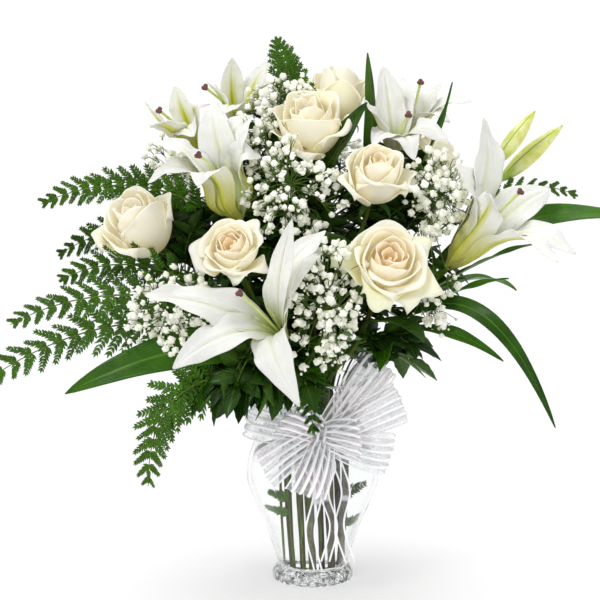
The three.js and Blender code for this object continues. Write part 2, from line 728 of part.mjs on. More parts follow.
/** A rose: a closed heart with five cupped petals whose rims roll outwards. */
function roseHead(rose, grow) {
  const axis = roseAxis(rose);
  const base = roseBase(rose);
  const across = new THREE.Vector3(0.3, 1, 0.2).cross(axis).normalize();
  const up = axis.clone().cross(across);
  const outline = ROSE_HEART.map(([r, z]) => [r * rose.radius, z * rose.radius * rose.tall]);
  const heart = spun(outline, 7, grow);
  alignTo(heart, base, base.clone().add(axis));
  const parts = [solid(heart)];
  for (let i = 0; i < 5; i++) {
    const centreAngle = (2 * Math.PI * i) / 5;
    const pointAt = (s, u) => {
      const spread = 0.62 * Math.sin(Math.PI * (0.15 + 0.7 * s)) + grow / rose.radius;
      const angle = centreAngle + u * spread;
      const swell = Math.sin(Math.PI * (0.04 + 0.6 * s)) + 0.12 * s * s;
      const r = rose.radius * 0.94 * swell;
      const height = rose.radius * rose.tall * (0.1 + 1.42 * s - 0.42 * s * s * s);
      return base
        .clone()
        .addScaledVector(axis, height)
        .addScaledVector(across, r * Math.cos(angle))
        .addScaledVector(up, r * Math.sin(angle));
    };
    parts.push(plate(3, 2, PETAL_THICKNESS, pointAt, grow));
  }
  return join(parts);
}

function roseStem(rose, place, grow) {
  const base = roseBase(rose);
  const approach = base.clone().addScaledVector(roseAxis(rose), -0.5 * rose.radius);
  const route = stemRoute(place, [...rose.via, approach.toArray(), base.toArray()], 8);
  const sides = 6;
  const parts = [rod(route, grownRadius(ROSE_STEM_RADIUS, grow, sides), sides)];
  parts.push(lump(base.addScaledVector(roseAxis(rose), -2), 7 + grow));
  for (const one of rose.leaves) parts.push(leaf(one, grow));
  return join(parts);
}

// ---- fern ------------------------------------------------------------------------------------
/**
 * A flat frond of the given length: its corners [along the midrib, across it], and the triangles
 * between them, which make a strip along the midrib and pointed pinnae in pairs.
 */
function flatFrond(length, width, grow) {
  const rib = 1.6 + grow;
  const pitch = length / (PINNA_PAIRS + 0.6);
  const corners = [[-3, rib], [-3, -rib]];
  const faces = [];
  const strip = (a, b) => faces.push([a, a + 1, b + 1], [a, b + 1, b]);
  for (let i = 0; i < PINNA_PAIRS; i++) {
    const s = (i + 0.5) / PINNA_PAIRS;
    const reach = (width / 2) * Math.pow(1 - s, 0.62) * (1 - 0.35 * Math.exp(-9 * s)) + grow;
    const near = (i + 0.15) * pitch - grow;
    const point = (i + 0.45) * pitch + 0.4 * reach;
    const far = (i + 0.8) * pitch + grow;
    const k = corners.length;
    corners.push([near, rib], [near, -rib], [point, reach], [point, -reach], [far, rib], [far, -rib]);
    strip(k - 2, k);
    strip(k, k + 4);
    faces.push([k, k + 4, k + 2], [k + 1, k + 3, k + 5]);
  }
  const last = corners.length;
  corners.push([length + grow, 0]);
  faces.push([last - 2, last - 1, last]);
  return { corners, faces };
}

/** A closed sheet: the same triangles on both skins, and a wall where a triangle has no neighbour. */
function sheet(front, back, faces) {
  const n = front.length;
  const index = faces.flatMap(([a, b, c]) => [a, b, c, c + n, b + n, a + n]);
  const edges = new Set(faces.flatMap(([a, b, c]) => [`${a} ${b}`, `${b} ${c}`, `${c} ${a}`]));
  for (const edge of edges) {
    const [a, b] = edge.split(" ").map(Number);
    if (!edges.has(`${b} ${a}`)) index.push(b, a, a + n, b, a + n, b + n);
  }
  return solid(mesh([...front, ...back].flatMap((p) => p.toArray()), index));
}

/** The blade: the flat frond bent along its midrib, its pinnae drooping a little. */
function frondBlade({ base, middle, tip, width, roll }, grow) {
  const rib = bowed(vec(base), vec(middle), vec(tip));
  const length = rib.getLength();
  const half = FROND_THICKNESS / 2 + grow;
  const { corners, faces } = flatFrond(length, width, grow);
  const skin = (offset) => corners.map(([x, y]) => {
    const s = x / length;
    const t = THREE.MathUtils.clamp(s, 0, 1);
    const tangent = rib.getTangent(t);
    const side = tangent.clone().cross(UP).normalize();
    side.applyAxisAngle(tangent, THREE.MathUtils.degToRad(roll));
    const normal = side.clone().cross(tangent);
    return rib
      .getPoint(t)
      .addScaledVector(tangent, (s - t) * length)
      .addScaledVector(side, y)
      .addScaledVector(normal, offset - 0.004 * y * y);
  });
  return sheet(skin(half), skin(-half), faces);
}

function frond(fern, place, grow) {
  const [start, mid] = [vec(fern.base), vec(fern.middle)];
  const approach = start.clone().addScaledVector(mid.sub(start).normalize(), -22);
  const inside = start.clone().addScaledVector(mid, 3);
  const route = stemRoute(place, [approach.toArray(), inside.toArray()], 7);
  const stalk = rod(route, grownRadius(FERN_STALK_RADIUS, grow, 4), 4);
  return stalk.add(frondBlade(fern, grow));
}

// ---- baby's breath ---------------------------------------------------------------------------
/** Where the florets of a spray sit: spread evenly over its cloud by the golden angle. */
function floretPlaces({ centre, size, twigs }) {
  const places = [];
  for (let i = 0; i < twigs; i++) {
    const height = (2 * (i + 0.5)) / twigs - 1;
    const ring = Math.sqrt(1 - height * height);
    const share = i % 3 === 2 ? 0.6 : 1;
    const angle = i * GOLDEN_ANGLE;
    const offset = [ring * Math.cos(angle), ring * Math.sin(angle), height];
    places.push(vec(centre.map((c, k) => c + share * size[k] * offset[k])));
  }
  return places;
}

/** A spray: its stalk, and a twig to every floret that has room. */
function spray(plan, place, grow, hasRoom) {
  const [hub, centre] = [vec(plan.hub), vec(plan.centre)];
  const route = stemRoute(place, [plan.hub, plan.centre], 7);
  let whole = rod(route, grownRadius(SPRAY_STALK_RADIUS, grow, 4), 4);
  for (const [i, floret] of floretPlaces(plan).entries()) {
    const fork = hub.clone().lerp(centre, 0.1 + (0.88 * i) / plan.twigs);
    const length = fork.distanceTo(floret);
    const radius = FLORET_RADIUS + grow;
    const twig = TWIG_RADIUS + grow;
    const outline = [
      [0, 0],
      [twig, 0],
      [twig, length - radius],
      [radius, length],
      [0, length + radius],
    ].map(([r, z]) => new THREE.Vector2(r, z));
    const geometry = new THREE.LatheGeometry(outline, 4);
    alignTo(geometry, fork, floret);
    const piece = solid(geometry);
    if (hasRoom(piece)) whole = whole.add(piece);
  }
  return whole;
}

// ---- ribbon ----------------------------------------------------------------------------------
const KNOT = [8, -60, 160];
const BAND_HALF_HEIGHT = 9;
const KNOT_SIZE = [13, 8, 11];
// each loop reaches from the knot to the right, towards the back and up, then its puff
const LOOPS = [
  { reach: [-72, -4, 22], puff: 17 },
  { reach: [-58, -16, -30], puff: 13 },
  { reach: [-14, -36, -52], puff: 10 },
  { reach: [80, -6, 34], puff: 18 },
  { reach: [68, -16, -18], puff: 14 },
  { reach: [60, 16, 72], puff: 14 },
  { reach: [-34, -30, 26], puff: 12 },
  { reach: [36, -34, 4], puff: 12 },
];
// each tail hangs from the knot over the belly to its end, then its width
const TAILS = [
  { points: [[4, -65, 152], [3, -66, 132], [0, -71, 106], [0, -72, 66], [2, -71, 26]], width: 13 },
  { points: [[10, -67, 152], [13, -68, 132], [15, -72, 106], [14, -72, 72], [14, -72, 36]], width: 10 },
  { points: [[16, -63, 152], [24, -64, 132], [30, -68, 106], [29, -69, 72], [36, -64, 32]], width: 14 },
];

/** The band is tied round the neck just clear of the glass. */
function ribbonBand() {
  const near = 1.2;
  const clearOf = (z) => insideRadius(z) + WALL + near;
  const heights = [-1, 0, 1].map((k) => NECK_Z - 6 + k * BAND_HALF_HEIGHT);
  const inner = heights.map((z) => new THREE.Vector2(clearOf(z), z));
  const outer = inner.map((p) => new THREE.Vector2(p.x + RIBBON_THICKNESS, p.y)).reverse();
  return turned([...inner, ...outer, inner[0]]);
}

/** One loop of the bow: a strip that leaves the knot, turns over at its reach and comes back. */
function ribbonLoop({ reach, puff }, grow) {
  const knot = vec(KNOT);
  const far = vec(reach);
  const toFront = new THREE.Vector3(0, -1, 0);
  const side = far.clone().cross(toFront).normalize();
  const opening = side.clone().cross(far).normalize();
  const turn = knot.clone().addScaledVector(far, 1.3);
  const leaving = knot.clone().addScaledVector(far, 8 / far.length());
  const curve = new THREE.CubicBezierCurve3(
    leaving.clone().addScaledVector(opening, 3),
    turn.clone().addScaledVector(opening, puff * 1.35),
    turn.clone().addScaledVector(opening, -puff * 1.35),
    leaving.clone().addScaledVector(opening, -3),
  );
  const pointAt = (s, u) => {
    const gathered = 0.48 + 0.52 * Math.sin(Math.PI * THREE.MathUtils.clamp(s, 0, 1)) ** 0.6;
    return curve.getPoint(s).addScaledVector(side, u * ((RIBBON_WIDTH / 2) * gathered + grow));
  };
  return plate(6, 1, RIBBON_THICKNESS, pointAt, grow);
}

function ribbonBow(grow) {
  const knot = new THREE.IcosahedronGeometry(1, 0);
  knot.scale(...KNOT_SIZE.map((size) => size + grow));
  knot.translate(...KNOT);
  return join([solid(knot), ...LOOPS.map((loop) => ribbonLoop(loop, grow))]);
}

function ribbonTail({ points, width }, grow) {
  const curve = smoothCurve(points.map(vec));
  const pointAt = (s, u) => {
    const at = curve.getPoint(THREE.MathUtils.clamp(s, 0, 1));
    return at.add(new THREE.Vector3(u * (width / 2 + grow), 0, 0));
  };
  return plate(8, 1, RIBBON_THICKNESS, pointAt, grow);
}

// ---- the bouquet -----------------------------------------------------------------------------
const bouquet = new THREE.Group();
const finished = []; // every piece so far: its cutter and the box round it

function boxesMeet(a, b) {
  const [p, q] = [a.boundingBox(), b.boundingBox()];
  return [0, 1, 2].every((k) => p.min[k] <= q.max[k] && q.min[k] <= p.max[k]);
}

/** Adds a piece, cut clear of the pieces that are already there. build(grow) makes its solid. */
function addPiece(name, material, build) {
  let piece = build(0);
  for (const { cutter } of finished) {
    if (boxesMeet(piece, cutter)) piece = piece.subtract(cutter);
  }
  const kept = largest(piece);
  const object = new THREE.Mesh(geometryOf(kept), material);
  object.name = name;
  bouquet.add(object);
  finished.push({ cutter: build(CUT_GROWTH) });
}

/** Whether a piece meets none of the pieces that are already there. */
function hasRoom(piece) {
  return finished.every(({ cutter }) => {
    return !boxesMeet(piece, cutter) || piece.intersect(cutter).isEmpty();
  });
}

const headsOf = (stem) => [...LILIES, ...BUDS].filter((head) => head.stem === stem);
const necks = assignPlaces([
  ...LILY_STEMS.map((stem) => stem.top),
  ...ROSES.map((rose) => rose.centre),
  ...FRONDS.map((fern) => fern.base),
  ...SPRAYS.map((plan) => plan.hub),
]);
const ends = endPlaces(necks);
const places = necks.map((neck, i) => ({ neck, end: ends[i] }));
const placeOf = {
  lily: (i) => places[i],
  rose: (i) => places[LILY_STEMS.length + i],
  fern: (i) => places[LILY_STEMS.length + ROSES.length + i],
  spray: (i) => places[LILY_STEMS.length + ROSES.length + FRONDS.length + i],
};

addPiece("vase", GLASS, () => vase());
LILY_STEMS.forEach((stem, i) => {
  const build = (grow) => lilyStem(stem, placeOf.lily(i), headsOf(i), grow);
  addPiece(`lily_stem_${i + 1}`, STEM_GREEN, build);
});
ROSES.forEach((rose, i) => {
  addPiece(`rose_stem_${i + 1}`, STEM_GREEN, (grow) => roseStem(rose, placeOf.rose(i), grow));
});
LILIES.forEach((lily, i) => {
  addPiece(`lily_pistil_${i + 1}`, PISTIL_GREEN, (grow) => pistil(lily, grow));
});
LILIES.forEach((lily, i) => {
  addPiece(`lily_bloom_${i + 1}`, LILY_WHITE, (grow) => lilyBloom(lily, grow));
});
BUDS.forEach((one, i) => addPiece(`lily_bud_${i + 1}`, BUD_GREEN, (grow) => bud(one, grow)));
ROSES.forEach((rose, i) => {
  addPiece(`rose_bloom_${i + 1}`, ROSE_CREAM, (grow) => roseHead(rose, grow));
});
addPiece("ribbon_band", RIBBON, () => ribbonBand());
addPiece("ribbon_bow", RIBBON, (grow) => ribbonBow(grow));
TAILS.forEach((tail, i) => {
  addPiece(`ribbon_tail_${i + 1}`, RIBBON, (grow) => ribbonTail(tail, grow));
});
FRONDS.forEach((fern, i) => {
  addPiece(`fern_frond_${i + 1}`, FERN_GREEN, (grow) => frond(fern, placeOf.fern(i), grow));
});
SPRAYS.forEach((plan, i) => {
  const build = (grow) => spray(plan, placeOf.spray(i), grow, hasRoom);
  addPiece(`babys_breath_${i + 1}`, SPRAY_WHITE, build);
});
addPiece("water", WATER, () => water());

export default bouquet;
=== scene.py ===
import math

import bpy
import numpy as np
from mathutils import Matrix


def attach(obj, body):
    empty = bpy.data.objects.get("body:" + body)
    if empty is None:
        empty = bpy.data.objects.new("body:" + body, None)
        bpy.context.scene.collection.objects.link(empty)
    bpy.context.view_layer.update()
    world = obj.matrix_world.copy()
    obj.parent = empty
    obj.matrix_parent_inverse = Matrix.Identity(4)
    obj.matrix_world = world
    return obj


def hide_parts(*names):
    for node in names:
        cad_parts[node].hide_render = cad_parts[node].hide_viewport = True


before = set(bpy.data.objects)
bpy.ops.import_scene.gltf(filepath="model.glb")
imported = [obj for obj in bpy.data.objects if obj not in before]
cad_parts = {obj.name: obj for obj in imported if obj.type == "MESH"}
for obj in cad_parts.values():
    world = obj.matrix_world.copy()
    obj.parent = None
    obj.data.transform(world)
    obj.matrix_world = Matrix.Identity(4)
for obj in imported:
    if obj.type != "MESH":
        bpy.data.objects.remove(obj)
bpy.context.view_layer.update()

MM = 0.001
UP = np.array([0.0, 0.0, 1.0])
GOLDEN_ANGLE = 2.39996

# ---- the sizes and places of the CAD part ----------------------------------------------------
FOOT_RADIUS, FOOT_FLAT_RADIUS, FOOT_HEIGHT, WAIST_RADIUS = 41.5, 38, 17, 35
NECK_RADIUS, NECK_Z, RIM_RADIUS, RIM_Z = 45, 168, 56, 205
WALL, FLOOR_Z, WATER_Z, GAP, LIP_HEIGHT = 3.8, 14, 136, 0.3, 1.7
VASE_WALL = [
    (WAIST_RADIUS, FOOT_HEIGHT), (42, 39), (50, 60), (60, 84), (67, 104),
    (65, 128), (55, 152), (NECK_RADIUS, NECK_Z), (47, 186), (RIM_RADIUS, RIM_Z),
]
LILY_STEM_RADIUS, PEDICEL_RADIUS, ROSE_STEM_RADIUS = 3.2, 2.2, 2.5
FERN_STALK_RADIUS, SPRAY_STALK_RADIUS, TWIG_RADIUS = 1.2, 1.1, 0.4
FUNNEL_RADIUS, RECEPTACLE_RADIUS = 16, 5.5
SLOT_PITCH, SLOT_RADIUS, SLOT_BACK_Y, SLOT_CENTRE_Y, SLOT_REACH = 8.8, 36, 9, -13, (34, 24)
MOUTH_SPREAD = 1.2
END_PITCH, END_FIRST_Y, END_REACH, END_SPREAD, END_CENTRE_Y = (8.2, 7), 2, 28, (0.75, 0.8), 4.8
RIBBON_WIDTH, BAND_WIDTH, KNOT_WIDTH = 41, 18, 22
# The roses' small leaves fill the bouquet's heart and hang over the rim. They end in clouds, each
# (centre, half-sizes, number of leaves).
FOLIAGE = [((-5, 14, 325), (150, 58, 112), 160), ((-66, -108, 222), (64, 32, 18), 30),
           ((76, -50, 248), (52, 38, 22), 9), ((-44, 6, 428), (44, 30, 56), 30),
           ((92, 10, 404), (40, 30, 48), 20), ((-128, -16, 350), (34, 26, 30), 14)]
KNOT = np.array([8.0, -60.0, 160.0])

# Each tepal is (tip, width, ruffle, twist, curl): ruffle is the wave of its edge and curl how far
# its tip bends back, both in mm, and twist is its turn about its own length, in radians. bulge is
# how far the tube swells near its base.
LILIES = [
    dict(stem=0, base=(-27, -95, 262), throat=(-46, -142, 290), stigma=(-67, -203, 319), tepals=[
        ((-155, -165, 315), 36, 3.8, 0.25, 4),
        ((-129, -185, 248), 34, 3.2, -0.35, 3),
        ((-15, -185, 211), 37, 2.6, 0.3, 4),
        ((7, -150, 377), 31, 2.4, -0.1, 12),
        ((19, -105, 361), 31, 2.4, 0.2, 14),
        ((-20, -198, 382), 22, 1.4, 0.9, 4)]),
    dict(stem=1, base=(-72, -40, 371), throat=(-90, -70, 424),
         funnel=22, bulge=11, stigma=(-108, -115, 438), tepals=[
        ((-160, -100, 423), 30, 1.4, 0, 14),
        ((-143, -85, 457), 36, 1.6, 0.2, 10),
        ((-100, -40, 484), 34, 1.2, 0, 2),
        ((-60, -25, 477), 36, 1.2, 0, 4),
        ((-47, -65, 441), 32, 1.2, 0.3, 10),
        ((-110, -122, 414), 32, 1.0, 0, 6)]),
    dict(stem=1, base=(-115, 0, 436), throat=(-127, -12, 458), stigma=(-150, -40, 478), tepals=[
        ((-161, -36, 489), 26, 1.0, 0, 4),
        ((-138, -14, 500), 26, 1.0, 0, 3),
        ((-158, -68, 472), 28, 1.2, 0, 8),
        ((-134, 46, 484), 26, 1.0, 0, 4),
        ((-104, 14, 487), 26, 1.0, 0, 4),
        ((-118, -58, 458), 28, 1.0, 0, 6)]),
    dict(stem=1, base=(-74, 30, 449), throat=(-75, 21, 476), stigma=(-107, -10, 500), tepals=[
        ((-80, 10, 528), 30, 0.8, 0, 2),
        ((-49, 30, 528), 28, 0.8, 0, 6),
        ((-42, -2, 514), 30, 1.0, 0, 6),
        ((-101, 2, 508), 30, 1.0, 0, 5),
        ((-86, 62, 512), 28, 1.0, 0, 5),
        ((-88, -30, 480), 28, 1.0, 0, 6)]),
    dict(stem=2, base=(83, 20, 427), throat=(83, 2, 455), stigma=(92, -50, 474), tepals=[
        ((53, -30, 491), 30, 1.2, 0, 5),
        ((71, 0, 520), 30, 1.0, 0, 4),
        ((92, 44, 512), 28, 1.0, 0, 4),
        ((131, -42, 455), 28, 1.4, 0.2, 8),
        ((98, -58, 436), 28, 1.2, 0, 8),
        ((58, -50, 452), 28, 1.2, 0, 8)]),
    dict(stem=2, base=(100, 60, 435), throat=(101, 52, 466), stigma=(108, 20, 505), tepals=[
        ((160, 30, 490), 28, 1.2, 0.2, 5),
        ((129, 56, 505), 30, 1.0, 0, 4),
        ((116, 104, 498), 30, 1.0, 0, 4),
        ((74, 76, 512), 28, 1.0, 0, 4),
        ((88, 16, 496), 26, 1.0, 0, 4),
        ((138, 10, 470), 28, 1.2, 0, 6)]),
    dict(stem=3, base=(134, -20, 322), throat=(170, -58, 370),
         funnel=20, bulge=5, stigma=(195, -102, 403), tepals=[
        ((167, -55, 472), 41, 2.2, 0.1, 4),
        ((140, -82, 430), 36, 1.4, 0, 6),
        ((172, -118, 404), 34, 1.2, 0, 8),
        ((251, -100, 349), 34, 2.0, 0.2, 8),
        ((226, -152, 348), 30, 1.8, 0.2, 8),
        ((232, -46, 406), 38, 2.0, 0, 8)]),
]
BUDS = [
    dict(stem=3, base=(183, 10, 422), tip=(222, 5, 477), radius=8.5),
    dict(stem=3, base=(190, 34, 404), tip=(254, 32, 462), radius=9.5),
]
# Each leaf is (on the stem, half way, tip, width, twist) and, where it doesn't lie face up, its roll
# in degrees.
LILY_STEMS = [
    dict(via=[(-13, -42, 228)], top=(-22, -58, 246), leaves=[
        ((-18, -54, 241), (-120, -112, 254), (-236, -116, 212), 38, -0.1, -60),
        ((-16, -48, 234), (-58, -102, 232), (-84, -134, 216), 26, 0, -40)]),
    dict(via=[(-26, 14, 262)], top=(-60, 16, 345), leaves=[
        ((-55, 14, 332), (-84, 62, 372), (-118, 92, 384), 26, 0),
        ((-58, 14, 340), (-34, 20, 388), (-24, 10, 430), 24, 0.3)]),
    dict(via=[(40, 12, 285)], top=(74, 26, 378), leaves=[
        ((60, 20, 340), (60, 14, 440), (54, 2, 534), 17, 0.9),
        ((74, 26, 376), (116, 6, 436), (139, 10, 505), 13, 0.6),
        ((50, 16, 312), (92, 90, 372), (128, 134, 402), 28, 0)]),
    dict(via=[(60, -2, 235)], top=(104, -4, 288), leaves=[
        ((98, -4, 280), (190, -16, 362), (318, -58, 374), 27, 0.1, 50),
        ((100, -4, 284), (168, -36, 330), (226, -50, 350), 12, 0.2),
        ((88, -3, 268), (140, -40, 300), (190, -62, 316), 13, 0.4),
        ((62, -4, 237), (148, -96, 292), (228, -130, 182), 17, 0.5, 35),
        ((56, -4, 230), (112, -74, 268), (182, -96, 240), 15, 0.9),
        ((50, -6, 225), (68, -70, 248), (62, -128, 236), 24, 0, 30),
        ((90, -2, 272), (160, 62, 300), (216, 88, 286), 28, 0)]),
]
# A rose faces along its axis and is tall times as high as a round one. open runs from 0, a tight
# head, to 1, fully blown; blush is how strongly its heart is peach and guard how green its
# outermost petals are.
ROSES = [
    dict(centre=(-171, -60, 372), axis=(-0.42, -0.50, 0.76), radius=41, tall=1.35,
         via=[(-90, -30, 275)], open=0.3, blush=0.3, guard=0.1, turn=0.6,
         leaves=[((-118, -36, 299), (-150, -8, 316), (-186, 8, 322), 26, 0)]),
    dict(centre=(-77, -125, 353), axis=(-0.15, -0.8, 0.58), radius=33, tall=1.1,
         via=[(-42, -62, 265)], open=0.7, blush=0.75, guard=0.1, turn=0.2,
         leaves=[((-52, -74, 289), (-100, -100, 300), (-128, -124, 322), 26, 0)]),
    dict(centre=(-3, -30, 470), axis=(-0.15, -0.60, 0.79), radius=40, tall=1.4,
         via=[(-3, -12, 330)], open=0.45, blush=0.3, guard=0.15, turn=2.0,
         leaves=[((1, -6, 393), (22, -36, 438), (52, -46, 486), 34, 0.3, 50),
                 ((-1, -9, 370), (-38, -38, 376), (-64, -66, 384), 26, 0)]),
    dict(centre=(27, 28, 500), axis=(0.12, 0.05, 0.99), radius=32, tall=1.5,
         via=[(14, 8, 350)], open=0.4, blush=0.2, guard=0.4, turn=1.2,
         leaves=[((20, 18, 420), (4, 66, 446), (-16, 92, 470), 28, 0)]),
    dict(centre=(61, -70, 421), axis=(0.14, -0.64, 0.76), radius=34, tall=1.5,
         via=[(32, -30, 310)], open=0.6, blush=0.6, guard=0.15, turn=0.9,
         leaves=[((38, -36, 335), (24, -86, 352), (8, -112, 366), 24, 0)]),
    dict(centre=(71, -125, 341), axis=(0.14, -0.82, 0.55), radius=44, tall=1.05,
         via=[(44, -62, 255)], open=1.0, blush=0.75, guard=0.45, turn=0.4,
         leaves=[((50, -72, 274), (84, -96, 276), (104, -118, 262), 28, 0),
                 ((47, -66, 262), (34, -110, 262), (30, -146, 276), 26, 0)]),
    dict(centre=(122, 48, 431), axis=(0.4, 0.2, 0.9), radius=30, tall=1.25,
         via=[(66, 22, 315)], open=0.3, blush=0.4, guard=0.2, turn=0.0,
         leaves=[((88, 32, 360), (128, 66, 376), (160, 96, 380), 26, 0)]),
]
# A frond's roll is its turn about its midrib in degrees, its pitch how far apart the pinnae stand, 12
# mm where none is given, and lush how many times as long they are. The wet pinnae, on the stalk
# below the water, are (height, direction, length).
FRONDS = [
    dict(base=(-112, -20, 384), middle=(-190, -22, 404), tip=(-268, -30, 386), width=58, roll=62,
         lush=1.25),
    dict(base=(-138, 20, 352), middle=(-195, 6, 358), tip=(-254, -18, 334), width=62, roll=62,
         lush=1.15),
    dict(base=(-130, -64, 318), middle=(-190, -66, 330), tip=(-246, -60, 314), width=56, roll=62,
         lush=1.2),
    dict(base=(-125, -82, 296), middle=(-212, -80, 300), tip=(-294, -72, 272), width=66, roll=62,
         lush=1.15, pitch=15),
    dict(base=(-110, -46, 268), middle=(-225, -60, 262), tip=(-338, -60, 202), width=84, roll=62,
         lush=1.1, pitch=16,
         wet=[(70, (-0.95, -0.2, 0.25), 27), (90, (-0.9, -0.35, 0.3), 24)]),
    dict(base=(-78, -100, 226), middle=(-136, -132, 204), tip=(-156, -140, 128), width=60, roll=85,
         lush=1.45),
    dict(base=(-5, -76, 240), middle=(-5, -104, 221), tip=(0, -122, 176), width=56, roll=10,
         pitch=8),
    dict(base=(-8, 26, 470), middle=(-22, 22, 508), tip=(-36, 10, 546), width=46, roll=45,
         lush=1.3, pitch=7),
    dict(base=(160, 44, 372), middle=(212, 34, 398), tip=(266, 14, 392), width=46, roll=-50,
         wet=[(84, (0.8, -0.4, 0.45), 26), (58, (0.75, 0.3, 0.5), 22)]),
    dict(base=(-40, 84, 330), middle=(-66, 138, 370), tip=(-84, 168, 350), width=74, roll=10),
    dict(base=(56, 84, 316), middle=(76, 136, 352), tip=(92, 170, 330), width=74, roll=-10),
]
# A spray's stalk passes its hub to its centre. Its clouds are (centre, half-sizes, about how many
# florets).
SPRAYS = [
    dict(hub=(-104, 34, 356), centre=(-140, 30, 412), clouds=[((-140, 24, 412), (34, 26, 32), 80)]),
    dict(hub=(-14, 4, 436), centre=(-30, 4, 488), clouds=[((-30, 0, 480), (34, 28, 34), 90)]),
    dict(hub=(-12, -40, 346), centre=(-22, -72, 408), clouds=[((-22, -74, 402), (46, 28, 50), 92),
                                                              ((-54, -30, 446), (22, 22, 36), 36)]),
    dict(hub=(92, -20, 340), centre=(124, -46, 396), clouds=[((122, -50, 396), (36, 28, 44), 120),
                                                             ((118, -84, 292), (14, 16, 30), 26)]),
    dict(hub=(10, -70, 246), centre=(14, -118, 292), clouds=[((14, -118, 296), (32, 26, 66), 124)]),
    dict(hub=(-84, -64, 262), centre=(-136, -110, 290), clouds=[((-136, -110, 288), (40, 24, 42), 90)]),
    dict(hub=(10, 62, 360), centre=(14, 102, 420), clouds=[((14, 100, 414), (60, 36, 44), 120)]),
]


# ---- curves and arrays -----------------------------------------------------------------------
def unit(v):
    """Each vector divided by its own length."""
    return v / np.maximum(np.linalg.norm(v, axis=-1, keepdims=True), 1e-9)


def smoothstep(t):
    """0 below 0, 1 above 1, and three t squared less two t cubed between."""
    t = np.clip(t, 0, 1)
    return t * t * (3 - 2 * t)


def hill(t, width):
    """A bell of height 1 at t = 0: e to the minus square of t over width."""
    return np.exp(-np.square(t / width))


def bezier(points, t):
    """The control points, each times its binomial term of t and 1 - t, added up."""
    n = len(points) - 1
    t = np.asarray(t, float)[..., None]
    terms = [math.comb(n, i) * t**i * (1 - t) ** (n - i) * np.array(p, float)
             for i, p in enumerate(points)]
    return sum(terms)


def bowed(start, middle, end, t):
    """The parabola that passes start at t = 0, middle at one half and end at 1."""
    start, middle, end = (np.array(p, float) for p in (start, middle, end))
    return bezier([start, 2 * middle - (start + end) / 2, end], t)


def through(points, t):
    """
    A smooth curve through the points: the knots are the running sums of the square roots of the
    chords, the slope at a knot is that of the parabola through its neighbours, and between two
    knots runs the cubic with those ends and slopes.
    """
    p = np.array(points, float)
    knots = np.append(0, np.cumsum(np.sqrt(np.linalg.norm(np.diff(p, axis=0), axis=1))))
    slope = np.gradient(p, knots, axis=0)
    where = np.asarray(t, float) * knots[-1]
    i = np.clip(np.searchsorted(knots, where, side="right") - 1, 0, len(p) - 2)
    gap = (knots[i + 1] - knots[i])[..., None]
    x = (where - knots[i])[..., None] / gap
    return ((2 * x**3 - 3 * x**2 + 1) * p[i] + (x**3 - 2 * x**2 + x) * gap * slope[i]
            + (3 * x**2 - 2 * x**3) * p[i + 1] + (x**3 - x**2) * gap * slope[i + 1])


def turned_about(v, axis, angle):
    """v turned by angle about the unit axis: its part along stays, its part across turns."""
    c, s = np.cos(angle)[..., None], np.sin(angle)[..., None]
    along = (v * axis).sum(-1, keepdims=True) * axis
    return along + (v - along) * c + np.cross(axis, v) * s


def square_to(v, ahead):
    """v less its part along the unit vectors ahead, divided by the length that is left."""
    return unit(v - (v * ahead).sum(-1, keepdims=True) * ahead)


def spokes(axis, beside, angle):
    """Unit vectors square to the axis, each turned by an angle from the axis crossed with beside."""
    first = unit(np.cross(axis, beside))
    return first * np.cos(angle)[:, None] + np.cross(axis, first) * np.sin(angle)[:, None]


def swept(line, side, across, up, lift):
    """A grid of points: each point of the line, moved sideways by across and upwards by lift."""
    return line[:, None] + side[:, None] * across[..., None] + up[:, None] * lift[..., None]


# ---- surfaces: dictionaries of points, faces and marks -----------------------------------------
def surface(points, quads, triangles, along=0.5, across=0.0, side=1.0, tone=0.5, finish=0):
    """
    Points and faces with four marks at each point, which the materials read: the way along it,
    the way across it, which skin it is on, and its own tone. finish is the place of its material
    among those of its piece.
    """
    n = len(points)
    marks = {k: np.broadcast_to(np.asarray(v, float), n)
             for k, v in dict(along=along, across=across, side=side, tone=tone).items()}
    return dict(points=points, quads=np.asarray(quads, int).reshape(-1, 4),
                triangles=np.asarray(triangles, int).reshape(-1, 3), marks=marks, finish=finish)


def grid_quads(rows, columns, wrap=False):
    """The quads between neighbouring rows and columns; wrap joins the last column to the first."""
    i = np.arange(rows - 1)[:, None] * columns
    j = np.arange(columns if wrap else columns - 1)[None]
    k = (j + 1) % columns
    return np.stack([i + j, i + k, i + k + columns, i + j + columns], -1).reshape(-1, 4)


def fans(rows, columns):
    """
    The triangles that close a wrapped grid: from the point that follows the grid's own to its first
    row, and from the next point to its last row.
    """
    n = rows * columns
    k = np.arange(columns)
    ahead = (k + 1) % columns
    first = np.stack([np.full(columns, n), ahead, k], -1)
    last = np.stack([np.full(columns, n + 1), n - columns + k, n - columns + ahead], -1)
    return np.concatenate([first, last])


